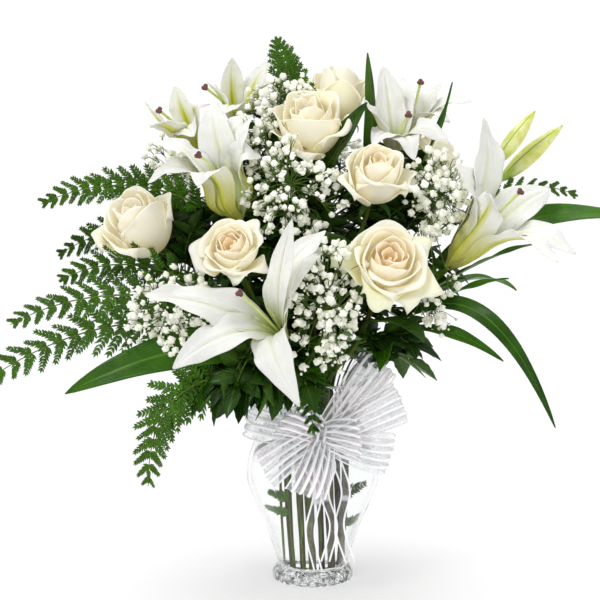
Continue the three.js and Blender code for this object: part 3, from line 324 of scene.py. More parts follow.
def shells(middle, thickness, tone, finish, across=None):
    """
    Thin closed sheets from middle[sheet, row, column]: each point moved half the thickness both
    ways along the cross product of the steps to the next column and row, the two skins joined by
    a strip round the edge. Mark side is 1 on the first skin and 0 on the second.
    """
    count, rows, columns = middle.shape[:3]
    normal = unit(np.cross(np.gradient(middle, axis=2), np.gradient(middle, axis=1)))
    half = np.broadcast_to(np.asarray(thickness, float), middle.shape[:3])[..., None] / 2
    both = np.stack([middle + half * normal, middle - half * normal], 1)
    n = rows * columns
    front = grid_quads(rows, columns)
    index = np.arange(n).reshape(rows, columns)
    rim = np.concatenate([index[0, :-1], index[:-1, -1], index[-1, :0:-1], index[:0:-1, 0]])
    ahead = np.roll(rim, -1)
    edge = np.stack([ahead, rim, rim + n, ahead + n], -1)
    quads = np.concatenate([front, front[:, ::-1] + n, edge])
    quads = (quads[None] + (np.arange(count) * 2 * n)[:, None, None]).reshape(-1, 4)
    s = np.linspace(0, 1, rows)[:, None]
    u = np.linspace(-1, 1, columns) if across is None else across
    shape = (count, 2, rows, columns)
    side = np.array([1.0, 0.0])[:, None, None]
    tone = np.asarray(tone, float).reshape(-1, 1, 1, 1)
    spread = [np.broadcast_to(v, shape).ravel() for v in (s, u, side, tone)]
    return surface(both.reshape(-1, 3), quads, (), *spread, finish=finish)


def shell(middle, thickness, tone=0.5, finish=0):
    """One thin closed sheet."""
    return shells(middle[None], thickness, tone, finish)


def rods(paths, radius, sides, tone=0.5, finish=0):
    """
    Round rods along paths[rod, station]: at each station a ring of points at the radius, square
    to the path, between two unit vectors found by crossing the path's direction with the world
    axis that the rod runs least along. A fan closes each end.
    """
    paths = np.asarray(paths, float)
    count, stations = paths.shape[:2]
    ahead = unit(np.gradient(paths, axis=1))
    least = np.eye(3)[np.abs(paths[:, -1] - paths[:, 0]).argmin(1)][:, None]
    first = unit(np.cross(ahead, least))
    second = np.cross(ahead, first)
    angle = np.arange(sides) * 2 * np.pi / sides
    ring = first[:, :, None] * np.cos(angle)[:, None] + second[:, :, None] * np.sin(angle)[:, None]
    radius = np.broadcast_to(np.asarray(radius, float), (count, stations))[..., None, None]
    skin = (paths[:, :, None] + radius * ring).reshape(count, -1, 3)
    points = np.concatenate([skin, paths[:, :1], paths[:, -1:]], 1)
    n = stations * sides
    shift = (np.arange(count) * (n + 2))[:, None, None]
    quads = (grid_quads(stations, sides, wrap=True) + shift).reshape(-1, 4)
    triangles = (fans(stations, sides) + shift).reshape(-1, 3)
    along = np.append(np.repeat(np.linspace(0, 1, stations), sides), [0, 1])
    tone = np.repeat(np.broadcast_to(np.asarray(tone, float), count), n + 2)
    return surface(points.reshape(-1, 3), quads, triangles, np.tile(along, count), 0.0, 1.0, tone,
                   finish)


def rod(path, radius, sides, tone=0.5, finish=0):
    """One round rod."""
    return rods(np.asarray(path)[None], radius, sides, tone, finish)


def turned(profile, sides, relief=0.0):
    """
    A solid turned about the upright axis: each profile point (radius, height) goes round a circle,
    its radius plus the relief there. The profile starts and ends on the axis, closed by fans.
    """
    r, z = np.array(profile, float)[1:-1].T
    angle = np.arange(sides) * 2 * np.pi / sides
    radius = np.broadcast_to(r[:, None] + relief, (len(r), sides))
    height = np.broadcast_to(z[:, None], radius.shape)
    skin = np.stack([radius * np.cos(angle), radius * np.sin(angle), height], -1)
    ends = np.array([[0, 0, profile[0][1]], [0, 0, profile[-1][1]]], float)
    return surface(np.concatenate([skin.reshape(-1, 3), ends]),
                   grid_quads(len(r), sides, wrap=True), fans(len(r), sides))


def balls(centres, radii, rows, columns, ruffle, tone=0.5, finish=0, seed=1):
    """
    Small round bodies: latitude and longitude circles with a pole at each end. Each point of the
    pattern body is lifted or lowered at random by up to ruffle times the radius, and every body
    is turned its own way. Mark along is how far a point is lifted, from 0 to 1.
    """
    rng = np.random.default_rng(seed)
    centres = np.asarray(centres, float).reshape(-1, 3)
    count = len(centres)
    lat = (np.arange(rows) + 1) * np.pi / (rows + 1)
    lon = np.arange(columns) * 2 * np.pi / columns
    lift = rng.uniform(-1, 1, (rows, columns))
    distance = 1 + ruffle * lift
    body = np.stack([np.sin(lat)[:, None] * distance * np.cos(lon),
                     np.sin(lat)[:, None] * distance * np.sin(lon),
                     np.cos(lat)[:, None] * distance], -1)
    body = np.concatenate([body.reshape(-1, 3), [[0, 0, 1], [0, 0, -1]]])
    w, x, y, z = unit(rng.normal(size=(count, 4))).T
    turn = np.array([[1 - 2 * (y * y + z * z), 2 * (x * y - w * z), 2 * (x * z + w * y)],
                     [2 * (x * y + w * z), 1 - 2 * (x * x + z * z), 2 * (y * z - w * x)],
                     [2 * (x * z - w * y), 2 * (y * z + w * x), 1 - 2 * (x * x + y * y)]])
    radii = np.broadcast_to(np.asarray(radii, float), count)
    points = centres[:, None] + radii[:, None, None] * np.einsum("ijn,pj->npi", turn, body)
    n = rows * columns
    shift = (np.arange(count) * (n + 2))[:, None, None]
    quads = (grid_quads(rows, columns, wrap=True)[:, ::-1] + shift).reshape(-1, 4)
    triangles = (fans(rows, columns)[:, [0, 2, 1]] + shift).reshape(-1, 3)
    lift = np.tile(np.append(0.5 + 0.5 * lift.ravel(), [0.5, 0.5]), count)
    tone = np.repeat(np.broadcast_to(np.asarray(tone, float), count), n + 2)
    return surface(points.reshape(-1, 3), quads, triangles, lift, 0.0, 1.0, tone, finish)


def make_piece(name, surfaces, finishes, replaces):
    """One object from surfaces laid end to end, with their marks as attributes."""
    starts = np.cumsum([0] + [len(s["points"]) for s in surfaces])
    points = np.concatenate([s["points"] for s in surfaces]) * MM
    quads = np.concatenate([s["quads"] + k for s, k in zip(surfaces, starts)])
    triangles = np.concatenate([s["triangles"] + k for s, k in zip(surfaces, starts)])
    mesh = bpy.data.meshes.new(name)
    mesh.from_pydata(points.tolist(), [], quads.tolist() + triangles.tolist())
    which = [np.full(len(s[kind]), s["finish"]) for kind in ("quads", "triangles") for s in surfaces]
    mesh.polygons.foreach_set("material_index", np.concatenate(which).astype(np.int32))
    mesh.polygons.foreach_set("use_smooth", np.ones(len(mesh.polygons), bool))
    for mark in ("along", "across", "side", "tone"):
        values = np.concatenate([s["marks"][mark] for s in surfaces]).astype(np.float32)
        mesh.attributes.new(mark, "FLOAT", "POINT").data.foreach_set("value", values)
    for one in finishes:
        mesh.materials.append(one)
    mesh.update()
    piece = bpy.data.objects.new(name, mesh)
    bpy.context.scene.collection.objects.link(piece)
    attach(piece, "root")
    if replaces:
        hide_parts(*replaces)
    return piece


# ---- shader building ---------------------------------------------------------------------------
def add(tree, kind, values=None, **settings):
    """A shader node with its settings, its inputs filled with values or joined to sockets."""
    node = tree.nodes.new("ShaderNode" + kind)
    for name, value in settings.items():
        setattr(node, name, value)
    for name, value in (values or {}).items():
        if isinstance(value, bpy.types.NodeSocket):
            tree.links.new(value, node.inputs[name])
        else:
            node.inputs[name].default_value = value
    return node


def maths(tree, operation, *values, clamp=False):
    """A Math node's result."""
    return add(tree, "Math", dict(enumerate(values)), operation=operation, use_clamp=clamp).outputs[0]


def times(tree, product, *values):
    """The values multiplied together."""
    for value in values:
        product = maths(tree, "MULTIPLY", product, value)
    return product


def mixed(tree, share, first, second):
    """Two colours mixed by a share."""
    node = add(tree, "Mix", data_type="RGBA")
    for slot, value in ((0, share), (6, first), (7, second)):
        if isinstance(value, bpy.types.NodeSocket):
            tree.links.new(value, node.inputs[slot])
        else:
            node.inputs[slot].default_value = value if slot == 0 else (*value, 1)
    return node.outputs[2]


def ranged(tree, value, low, high, to_low=0.0, to_high=1.0):
    """value's way from low to high, smoothed at both ends, as a way from to_low to to_high."""
    inputs = {"Value": value, "From Min": low, "From Max": high, "To Min": to_low, "To Max": to_high}
    return add(tree, "MapRange", inputs, interpolation_type="SMOOTHSTEP").outputs[0]


def mark(tree, name):
    """A mark of the mesh."""
    return add(tree, "Attribute", attribute_name=name, attribute_type="GEOMETRY").outputs["Fac"]


def new_group(name, inputs, outputs):
    """An empty node group: its tree, the sockets that bring its inputs and those that take outputs."""
    tree = bpy.data.node_groups.new(name, "ShaderNodeTree")
    for label, value in inputs.items():
        socket = tree.interface.new_socket(label, in_out="INPUT", socket_type="NodeSocketFloat")
        socket.default_value = value
    for label in outputs:
        tree.interface.new_socket(label, in_out="OUTPUT", socket_type="NodeSocketFloat")
    return tree, tree.nodes.new("NodeGroupInput").outputs, tree.nodes.new("NodeGroupOutput").inputs


def mottle_group():
    """Soft uneven patches over the surface: two sizes of noise, between Low and High."""
    tree, given, out = new_group("mottle", {"Scale": 60.0, "Low": 0.35, "High": 0.65}, ["Mask"])
    where = add(tree, "TexCoord").outputs["Object"]
    noise = add(tree, "TexNoise", {"Vector": where, "Scale": given["Scale"], "Detail": 4.0,
                                   "Roughness": 0.6})
    node = add(tree, "MapRange", {"Value": noise.outputs[0], "From Min": given["Low"],
                                  "From Max": given["High"]}, interpolation_type="SMOOTHSTEP")
    tree.links.new(node.outputs[0], out["Mask"])
    return tree


def vein_group():
    """
    Fine lines on a petal or leaf: the cosine of Count times a place, which is the distance from the
    midrib less Slant times the place along, raised so that only narrow lines are left. The midrib
    is a bell of the distance over Rib Width.
    """
    tree, given, out = new_group("veins", {"Count": 14.0, "Slant": 0.0, "Rib Width": 0.06},
                                 ["Lines", "Rib"])
    across, along = mark(tree, "across"), mark(tree, "along")
    off = maths(tree, "ABSOLUTE", across)
    wander = add(tree, "TexNoise", {"Vector": add(tree, "TexCoord").outputs["Object"],
                                    "Scale": 45.0, "Detail": 2.0}).outputs[0]
    turn = maths(tree, "ADD", off, times(tree, wander, 0.03))
    turn = maths(tree, "SUBTRACT", turn, times(tree, along, given["Slant"]))
    wave = maths(tree, "COSINE", times(tree, turn, given["Count"]))
    tree.links.new(maths(tree, "POWER", maths(tree, "ABSOLUTE", wave), 6.0), out["Lines"])
    rib = maths(tree, "DIVIDE", off, given["Rib Width"])
    rib = maths(tree, "POWER", math.e, times(tree, rib, rib, -1.0))
    tree.links.new(rib, out["Rib"])
    return tree


MOTTLE = mottle_group()
VEINS = vein_group()


def placed(tree, shared, **values):
    """A shared group placed in a material, with its own values."""
    node = tree.nodes.new("ShaderNodeGroup")
    node.node_tree = shared
    for label, value in values.items():
        node.inputs[label.replace("_", " ")].default_value = value
    return node.outputs


def new_finish(name, **constants):
    """A material with one Principled surface: its node tree and that node."""
    material = bpy.data.materials.new(name)
    material.use_nodes = True
    tree = material.node_tree
    skin = next(n for n in tree.nodes if n.type == "BSDF_PRINCIPLED")
    for label, value in constants.items():
        skin.inputs[label.replace("_", " ")].default_value = value
    return material, tree, skin


def bumped(tree, skin, height, strength, distance):
    """The surface's small relief, in metres of distance."""
    bump = add(tree, "Bump", {"Height": height, "Strength": strength, "Distance": distance})
    tree.links.new(bump.outputs[0], skin.inputs["Normal"])


def dressed(tree, skin, colour, uneven, smooth, rough):
    """The surface's colour, and its roughness from smooth to rough by an uneven mask."""
    tree.links.new(colour, skin.inputs["Base Color"])
    tree.links.new(ranged(tree, uneven, 0, 1, smooth, rough), skin.inputs["Roughness"])


def petal_light(skin, weight, scale, radius):
    """How light spreads inside a petal."""
    skin.inputs["Subsurface Weight"].default_value = weight
    skin.inputs["Subsurface Scale"].default_value = scale
    skin.inputs["Subsurface Radius"].default_value = radius


def lily_finish(name, outer_green, inner_green, rib_width):
    """
    White petal. On the outer skin a yellow base and a yellow rib with a dark line in it, as strong
    as outer_green; inside a pale green throat and a rib as strong as inner_green; fine lines along
    its length.
    """
    material, tree, skin = new_finish(name, Roughness=0.42, IOR=1.4, Specular_IOR_Level=0.3,
                                      Sheen_Weight=0.06)
    along, outside = mark(tree, "along"), mark(tree, "side")
    side = maths(tree, "SUBTRACT", 1.0, outside)
    veins = placed(tree, VEINS, Count=26.0, Rib_Width=rib_width)
    line = placed(tree, VEINS, Count=26.0, Rib_Width=0.04)["Rib"]
    patches = placed(tree, MOTTLE, Scale=70.0)["Mask"]
    colour = mixed(tree, patches, (0.87, 0.875, 0.80), (0.92, 0.92, 0.87))
    colour = mixed(tree, times(tree, veins["Lines"], 0.16), colour, (0.70, 0.73, 0.55))
    throat = times(tree, ranged(tree, along, 0.45, 0.06), side, 0.75)
    colour = mixed(tree, throat, colour, (0.62, 0.72, 0.22))
    base = times(tree, ranged(tree, along, 0.62, 0.12), outside, outer_green)
    colour = mixed(tree, base, colour, (0.70, 0.68, 0.10))
    rib = times(tree, veins["Rib"], ranged(tree, along, 1.05, 0.55), outside)
    rib = maths(tree, "MULTIPLY", rib, outer_green, clamp=True)
    colour = mixed(tree, rib, colour, (0.66, 0.66, 0.06))
    dark = times(tree, line, outside, ranged(tree, along, 0.9, 0.5), 0.75 * outer_green)
    colour = mixed(tree, dark, colour, (0.20, 0.28, 0.02))
    inner = times(tree, veins["Rib"], side, ranged(tree, along, 1.0, 0.35))
    inner = maths(tree, "MULTIPLY", inner, inner_green, clamp=True)
    colour = mixed(tree, inner, colour, (0.56, 0.58, 0.035))
    dressed(tree, skin, colour, patches, 0.38, 0.5)
    bumped(tree, skin, maths(tree, "ADD", veins["Lines"], patches), 0.4, 0.0005)
    petal_light(skin, 0.35, 0.004, (1.0, 1.0, 0.6))
    return material


def rose_finish():
    """
    Cream petal, with a little painted warm glow (emission) for light that shines from petal to petal.
    Mark tone is 0 at a peach heart and 1 outside, and a breath of green over 1. Faint lines run
    from the base, which carries painted shade, darker and yellower, as it sits deep in the head.
    """
    # Emission_Strength gives the petals a painted glow, standing in for light shining through them
    material, tree, skin = new_finish("rose_petal", Roughness=0.55, IOR=1.4, Sheen_Weight=0.05,
                                      Specular_IOR_Level=0.25, Emission_Strength=0.075)
    along, tone = mark(tree, "along"), mark(tree, "tone")
    veins = placed(tree, VEINS, Count=30.0, Rib_Width=0.1)
    patches = placed(tree, MOTTLE, Scale=38.0)["Mask"]
    cream = mixed(tree, patches, (0.94, 0.89, 0.725), (0.955, 0.925, 0.80))
    colour = mixed(tree, ranged(tree, tone, 0.9, 0.0), cream, (0.97, 0.805, 0.58))
    colour = mixed(tree, ranged(tree, tone, 1.0, 1.7), colour, (0.84, 0.87, 0.48))
    colour = mixed(tree, times(tree, veins["Lines"], 0.08), colour, (0.90, 0.76, 0.45))
    # painted shade: the lower part of each petal, deep in the head, darker and yellower
    foot = times(tree, ranged(tree, along, 0.55, 0.05), 0.6)
    colour = mixed(tree, foot, colour, (0.90, 0.80, 0.38))
    dressed(tree, skin, colour, patches, 0.5, 0.62)
    # painted glow: warm emission colour, peachier at the heart
    glow = mixed(tree, ranged(tree, tone, 0.9, 0.1), (1.0, 0.86, 0.44), (1.0, 0.70, 0.34))
    tree.links.new(glow, skin.inputs["Emission Color"])
    bumped(tree, skin, maths(tree, "ADD", veins["Lines"], patches), 0.2, 0.0003)
    petal_light(skin, 0.4, 0.006, (1.0, 0.8, 0.45))
    return material


def leaf_finish(name, dark, light, rib, count, slant, gloss):
    """
    Green leaf between dark and light by patches and by the leaf's own tone, with count and slant
    for its lines, a paler midrib, a paler underside and a waxy coat. gloss is its roughness.
    """
    material, tree, skin = new_finish(name, Roughness=gloss, IOR=1.45, Coat_Weight=0.08,
                                      Coat_Roughness=0.18, Specular_IOR_Level=0.2)
    tone, side = mark(tree, "tone"), mark(tree, "side")
    veins = placed(tree, VEINS, Count=count, Slant=slant, Rib_Width=0.06)
    patches = placed(tree, MOTTLE, Scale=40.0, Low=0.3, High=0.7)["Mask"]
    share = maths(tree, "ADD", times(tree, patches, 0.4),
                  maths(tree, "SUBTRACT", times(tree, tone, 1.2), 0.35), clamp=True)
    colour = mixed(tree, share, dark, light)
    under = tuple(0.6 * a + 0.4 * b for a, b in zip(light, (0.16, 0.27, 0.06)))
    back = times(tree, maths(tree, "SUBTRACT", 1.0, side), 0.5)
    colour = mixed(tree, back, colour, under)
    colour = mixed(tree, times(tree, veins["Lines"], 0.25), colour, light)
    colour = mixed(tree, times(tree, veins["Rib"], 0.6), colour, rib)
    dressed(tree, skin, colour, patches, gloss - 0.06, gloss + 0.12)
    relief = maths(tree, "SUBTRACT", times(tree, patches, 0.5), veins["Lines"])
    bumped(tree, skin, relief, 0.6, 0.0005)
    petal_light(skin, 0.06, 0.002, (0.5, 1.0, 0.2))
    return material


def stem_finish(name, low, high, streak):
    """Green stem with long streaks. Down in the water it is yellower or browner, by its own tone."""
    material, tree, skin = new_finish(name, Roughness=0.42, IOR=1.45, Specular_IOR_Level=0.2)
    where = add(tree, "TexCoord").outputs["Object"]
    long = add(tree, "Mapping", {"Vector": where, "Scale": (1.0, 1.0, 0.06)}).outputs[0]
    lines = add(tree, "TexNoise", {"Vector": long, "Scale": 420.0, "Detail": 3.0}).outputs[0]
    height = add(tree, "SeparateXYZ", {0: where}).outputs["Z"]
    soaked = mixed(tree, ranged(tree, mark(tree, "tone"), 0.25, 0.75), low, (0.060, 0.038, 0.006))
    colour = mixed(tree, ranged(tree, height, 0.08, 0.24), soaked, high)
    colour = mixed(tree, ranged(tree, lines, 0.45, 0.62, 0.0, 0.6), colour, streak)
    patches = placed(tree, MOTTLE, Scale=60.0, Low=0.42, High=0.66)["Mask"]
    colour = mixed(tree, times(tree, patches, 0.35), colour, (0.09, 0.07, 0.02))
    tree.links.new(colour, skin.inputs["Base Color"])
    tree.links.new(ranged(tree, lines, 0.3, 0.7, 0.34, 0.55), skin.inputs["Roughness"])
    bumped(tree, skin, lines, 0.4, 0.0004)
    return material


def floret_finish():
    """White ruffled petals with a painted glow and painted shade in their folds, some creamier."""
    # Emission_Strength and Emission Color give a painted glow for light shining through the petals
    material, tree, skin = new_finish("floret_white", Roughness=0.6, IOR=1.35, Sheen_Weight=0.1,
                                      Emission_Strength=0.10)
    skin.inputs["Emission Color"].default_value = (1.0, 1.0, 0.8, 1.0)
    lift, tone = mark(tree, "along"), mark(tree, "tone")
    patches = placed(tree, MOTTLE, Scale=300.0)["Mask"]
    colour = mixed(tree, tone, (0.84, 0.86, 0.66), (0.97, 0.97, 0.92))
    # painted shade: the sunken points of each ruffled body darker and grey-green
    colour = mixed(tree, ranged(tree, lift, 0.8, 0.1, 0.0, 0.40), colour, (0.62, 0.66, 0.42))
    colour = mixed(tree, times(tree, patches, 0.25), colour, (0.97, 0.97, 0.95))
    dressed(tree, skin, colour, patches, 0.5, 0.7)
    bumped(tree, skin, patches, 0.5, 0.0004)
    # light shines through the petals
    petal_light(skin, 0.2, 0.002, (1.0, 1.0, 0.8))
    return material


def bud_finish():
    """Yellow-green bud, whiter between the three seams and greener along them."""
    material, tree, skin = new_finish("lily_bud_green", Roughness=0.4, IOR=1.4)
    along, across = mark(tree, "along"), mark(tree, "across")
    patches = placed(tree, MOTTLE, Scale=80.0)["Mask"]
    seam = ranged(tree, across, 0.55, 1.0)
    colour = mixed(tree, patches, (0.66, 0.70, 0.14), (0.86, 0.86, 0.42))
    colour = mixed(tree, seam, colour, (0.24, 0.42, 0.03))
    colour = mixed(tree, ranged(tree, along, 0.35, 0.0), colour, (0.30, 0.48, 0.05))
    colour = mixed(tree, ranged(tree, along, 0.93, 1.0, 0.0, 0.8), colour, (0.30, 0.42, 0.05))
    dressed(tree, skin, colour, patches, 0.35, 0.5)
    bumped(tree, skin, patches, 0.3, 0.0003)
    petal_light(skin, 0.2, 0.003, (0.8, 1.0, 0.4))
    return material


def mottled_finish(name, first, second, scale, roughness, relief):
    """Two colours in patches with a fine relief."""
    material, tree, skin = new_finish(name, Roughness=roughness)
    patches = placed(tree, MOTTLE, Scale=scale)["Mask"]
    colour = mixed(tree, patches, first, second)
    dressed(tree, skin, colour, patches, roughness - 0.08, roughness + 0.1)
    bumped(tree, skin, patches, 0.5, relief)
    return material


def glass_finish(name, tint, ior, crackle):
    """
    Clear glass or water. Lamps shine through it, so that what stands inside is lit; crackle is
    how strongly the pressed pattern of the foot breaks up its surface and darkens it in specks of
    painted shade.
    """
    material, tree, skin = new_finish(name, Base_Color=(*tint, 1), Roughness=0.0, IOR=ior,
                                      Transmission_Weight=1.0)
    where = add(tree, "TexCoord").outputs["Object"]
    waves = add(tree, "TexNoise", {"Vector": where, "Scale": 30.0, "Detail": 1.0}).outputs[0]
    relief = times(tree, waves, 0.35)
    if crackle:
        cells = add(tree, "TexVoronoi", {"Vector": where, "Scale": 190.0}).outputs["Distance"]
        height = add(tree, "SeparateXYZ", {0: where}).outputs["Z"]
        pressed = times(tree, cells, ranged(tree, height, 0.0175, 0.0145))
        relief = maths(tree, "ADD", relief, times(tree, pressed, crackle))
        # painted shade: dark specks in the glass's colour along the pressed pattern
        pressed_speck_shade = mixed(tree, ranged(tree, pressed, 0.42, 0.66), tint, (0.20, 0.22, 0.21))
        tree.links.new(pressed_speck_shade, skin.inputs["Base Color"])
    bumped(tree, skin, relief, 0.5, 0.0012)
    clear = add(tree, "BsdfTransparent", {"Color": (*tint, 1)})
    ray = add(tree, "LightPath").outputs["Is Shadow Ray"]
    both = add(tree, "MixShader", {0: ray, 1: skin.outputs[0], 2: clear.outputs[0]})
    out = next(n for n in tree.nodes if n.type == "OUTPUT_MATERIAL")
    tree.links.new(both.outputs[0], out.inputs["Surface"])
    return material


def ribbon_finish():
    """
    Sheer ribbon. White satin stripes run along it, at the peaks of a cosine from one edge to the
    other: mark tone is a tenth of the number of gaps between them, and they carry a painted glow
    (emission) for light shining through them. The clear ground lets what is behind it show, with a
    thin veil, thinner still on the narrow tails, and a faint tint of rose and blue. It is denser
    where the ribbon turns over at half its length, partly for the layers seen edge-on there and
    partly as a painted highlight along the fold.
    """
    # Emission_Strength gives the stripes a painted glow
    material, tree, skin = new_finish("ribbon_sheer", Roughness=0.28, IOR=1.45, Sheen_Weight=0.2,
                                      Coat_Weight=0.3, Coat_Roughness=0.12, Emission_Strength=0.12)
    across, along, gaps = mark(tree, "across"), mark(tree, "along"), mark(tree, "tone")
    turns = times(tree, maths(tree, "ADD", across, 1.0), gaps, 10 * math.pi)
    stripe = ranged(tree, maths(tree, "COSINE", turns), 0.15, 0.75)
    patches = placed(tree, MOTTLE, Scale=120.0, Low=0.4, High=0.6)["Mask"]
    tint = placed(tree, MOTTLE, Scale=26.0, Low=0.42, High=0.62)["Mask"]
    ground = mixed(tree, tint, (0.78, 0.82, 0.86), (0.88, 0.78, 0.85))
    colour = mixed(tree, stripe, ground, (0.97, 0.97, 0.98))
    dressed(tree, skin, colour, stripe, 0.18, 0.32)
    # painted glow: white emission colour on the stripes, none on the clear ground
    shine = mixed(tree, stripe, (0.0, 0.0, 0.0), (1.0, 1.0, 1.0))
    tree.links.new(shine, skin.inputs["Emission Color"])
    # painted highlight: the veil is made denser along the fold, partly for the layers seen edge-on
    half_way = maths(tree, "ABSOLUTE", maths(tree, "SUBTRACT", along, 0.5))
    fold = ranged(tree, half_way, 0.035, 0.008, 0.0, 0.55)
    veil = times(tree, ranged(tree, patches, 0, 1, 0.10, 0.26),
                 ranged(tree, gaps, 0.1, 0.3, 0.25, 1.0))
    veil = maths(tree, "MAXIMUM", veil, fold)
    veil = maths(tree, "MAXIMUM", veil, times(tree, stripe, 0.9))
    tree.links.new(veil, skin.inputs["Alpha"])
    threads = add(tree, "TexNoise", {"Vector": add(tree, "TexCoord").outputs["Object"],
                                     "Scale": 900.0}).outputs[0]
    bumped(tree, skin, maths(tree, "ADD", stripe, times(tree, threads, 0.3)), 0.5, 0.0004)
    return material


LILY = lily_finish("lily_petal", 0.95, 0.35, 0.17)
LILY_PALE = lily_finish("lily_petal_pale", 0.55, 0.25, 0.15)
LILY_GREEN = lily_finish("lily_petal_green", 1.0, 1.25, 0.34)
ROSE = rose_finish()
LEAF = leaf_finish("lily_leaf", (0.010, 0.045, 0.001), (0.052, 0.180, 0.004), (0.15, 0.32, 0.02),
                   22.0, 0.0, 0.30)
ROSE_LEAF = leaf_finish("rose_leaf", (0.006, 0.028, 0.001), (0.030, 0.105, 0.003),
                        (0.09, 0.18, 0.02), 9.0, 2.2, 0.30)
FERN = leaf_finish("fern_leaf", (0.004, 0.024, 0.001), (0.066, 0.230, 0.003), (0.12, 0.28, 0.01),
                   6.0, 1.6, 0.24)
STEM = stem_finish("green_stem", (0.070, 0.080, 0.003), (0.06, 0.14, 0.006), (0.15, 0.16, 0.008))
ROSE_STEM = stem_finish("rose_stem_green", (0.060, 0.060, 0.003), (0.04, 0.10, 0.006),
                        (0.12, 0.10, 0.008))
STALK = stem_finish("fine_stalk", (0.07, 0.12, 0.010), (0.08, 0.18, 0.015), (0.18, 0.26, 0.04))
TWIG = stem_finish("twig_green", (0.05, 0.10, 0.012), (0.07, 0.15, 0.018), (0.16, 0.25, 0.05))
FLORET = floret_finish()
BUD = bud_finish()
STYLE = mottled_finish("style_green", (0.52, 0.62, 0.14), (0.68, 0.74, 0.30), 140.0, 0.42, 0.0002)
STIGMA = mottled_finish("stigma_brown", (0.075, 0.022, 0.018), (0.20, 0.07, 0.05), 420.0, 0.55,
                        0.0006)
GLASS = glass_finish("vase_glass_clear", (0.985, 0.992, 0.99), 1.34, 2.4)
WATER = glass_finish("clear_water", (0.975, 0.99, 0.98), 1.2, 0.0)
RIBBON = ribbon_finish()


# ---- glass and water ---------------------------------------------------------------------------
def wall_line(steps):
    """The outside of the wall: a curve through the wall's points, and its direction."""
    t = np.linspace(0, 1, steps)
    line = through([(r, z, 0) for r, z in VASE_WALL], t)[:, :2]
    return line, unit(np.gradient(line, axis=0))


def inner_line(steps):
    """
    The inside of the wall from the rim down to just above the floor: the outside moved in by the
    wall's thickness.
    """
    line, ahead = wall_line(steps)
    inner = line + WALL * np.stack([-ahead[:, 1], ahead[:, 0]], -1)
    return inner[inner[:, 1] > FLOOR_Z + 2][::-1]


def inside_radius(z):
    """The inner wall's radius at a height."""
    line = inner_line(90)[::-1]
    return np.interp(z, line[:, 1], line[:, 0])


def build_vase():
    """
    The vase, turned from its underside out, up the outer wall, over a rounded rim and down the
    inner wall. The edge of its foot is pressed into shallow scallops: the radius less a share of
    0.45 mm that follows the product of two sines, faded out at the table and over the foot.
    """
    outer, _ = wall_line(54)
    foot = [(0, 0.5), (FOOT_FLAT_RADIUS - 9, 0.5), (FOOT_FLAT_RADIUS - 7, 0), (FOOT_FLAT_RADIUS, 0),
            (FOOT_RADIUS - 1.4, 0.9), (FOOT_RADIUS - 0.6, 2.2), (FOOT_RADIUS - 0.2, 4),
            (FOOT_RADIUS - 0.1, 6), (FOOT_RADIUS - 0.2, 8), (FOOT_RADIUS - 0.7, 10),
            (FOOT_RADIUS - 1.7, 12), (FOOT_RADIUS - 3.2, 13.8), (FOOT_RADIUS - 5, 15.2)]
    inner = inner_line(54)
    lip_centre, arm = (outer[-1] + inner[0]) / 2, (outer[-1] - inner[0]) / 2
    angle = np.linspace(0, np.pi, 8)[1:-1, None]
    lip = lip_centre + np.cos(angle) * arm + np.sin(angle) * [0, LIP_HEIGHT]
    floor = [(WAIST_RADIUS - WALL - 1.2, FLOOR_Z + 1.2), (WAIST_RADIUS - WALL - 4, FLOOR_Z),
             (0, FLOOR_Z)]
    profile = np.concatenate([foot, outer, lip, inner, floor])
    sides = 144
    z = profile[1:-1, 1][:, None]
    angle = np.arange(sides) * 2 * np.pi / sides
    band = smoothstep(z / 2) * smoothstep((15 - z) / 3)
    edge = (profile[1:-1, 0] > WAIST_RADIUS - 2)[:, None]
    relief = -0.45 * band * edge * (0.5 + 0.5 * np.sin(24 * angle + 0.55 * z) * np.sin(0.9 * z))
    make_piece("vase_glass", [turned(profile, sides, relief)], [GLASS], ["vase"])


def build_water():
    """
    The water, turned from the floor up beside the inner wall to its level. It stands a little
    higher at the wall.
    """
    z = np.linspace(FLOOR_Z + 3, WATER_Z, 30)
    r = inside_radius(z) - GAP
    profile = [(0, FLOOR_Z + GAP), (WAIST_RADIUS - WALL - 5, FLOOR_Z + GAP), *zip(r, z),
               (r[-1] - 0.8, WATER_Z - 0.2), (0, WATER_Z - 0.2)]
    make_piece("water_body", [turned(profile, 96)], [WATER], ["water"])


# ---- stems -------------------------------------------------------------------------------------
def neck_places():
    """Places in rows across the neck from the back, every second row moved by half a pitch."""
    places = []
    y, row = SLOT_BACK_Y, 0
    while y > -SLOT_RADIUS:
        x = (np.arange(-5, 6) + (row % 2) * 0.5) * SLOT_PITCH
        places += [(a, y) for a in x if math.hypot(a, y) <= SLOT_RADIUS - 1]
        y, row = y - SLOT_PITCH * 0.9, row + 1
    return places


def nearest(free, x, y):
    """The free place nearest to x and y, taken out of the list."""
    far = [math.hypot(a - x, b - y) for a, b in free]
    return free.pop(far.index(min(far)))


def assigned_places(targets):
    """Each stem's place: the flattest stems choose first, nearest to the side they lean to."""
    free = neck_places()
    lean = [math.atan2(math.hypot(x, y), z - RIM_Z) for x, y, z in targets]
    places = {}
    for rank, i in enumerate(sorted(range(len(targets)), key=lambda k: -lean[k])):
        x, y, _ = targets[i]
        out = math.hypot(x, y)
        share = math.sqrt(1 - rank / len(targets))
        places[i] = nearest(free, SLOT_REACH[0] * share * x / out,
                            SLOT_CENTRE_Y + SLOT_REACH[1] * share * y / out)
    return [places[i] for i in range(len(targets))]


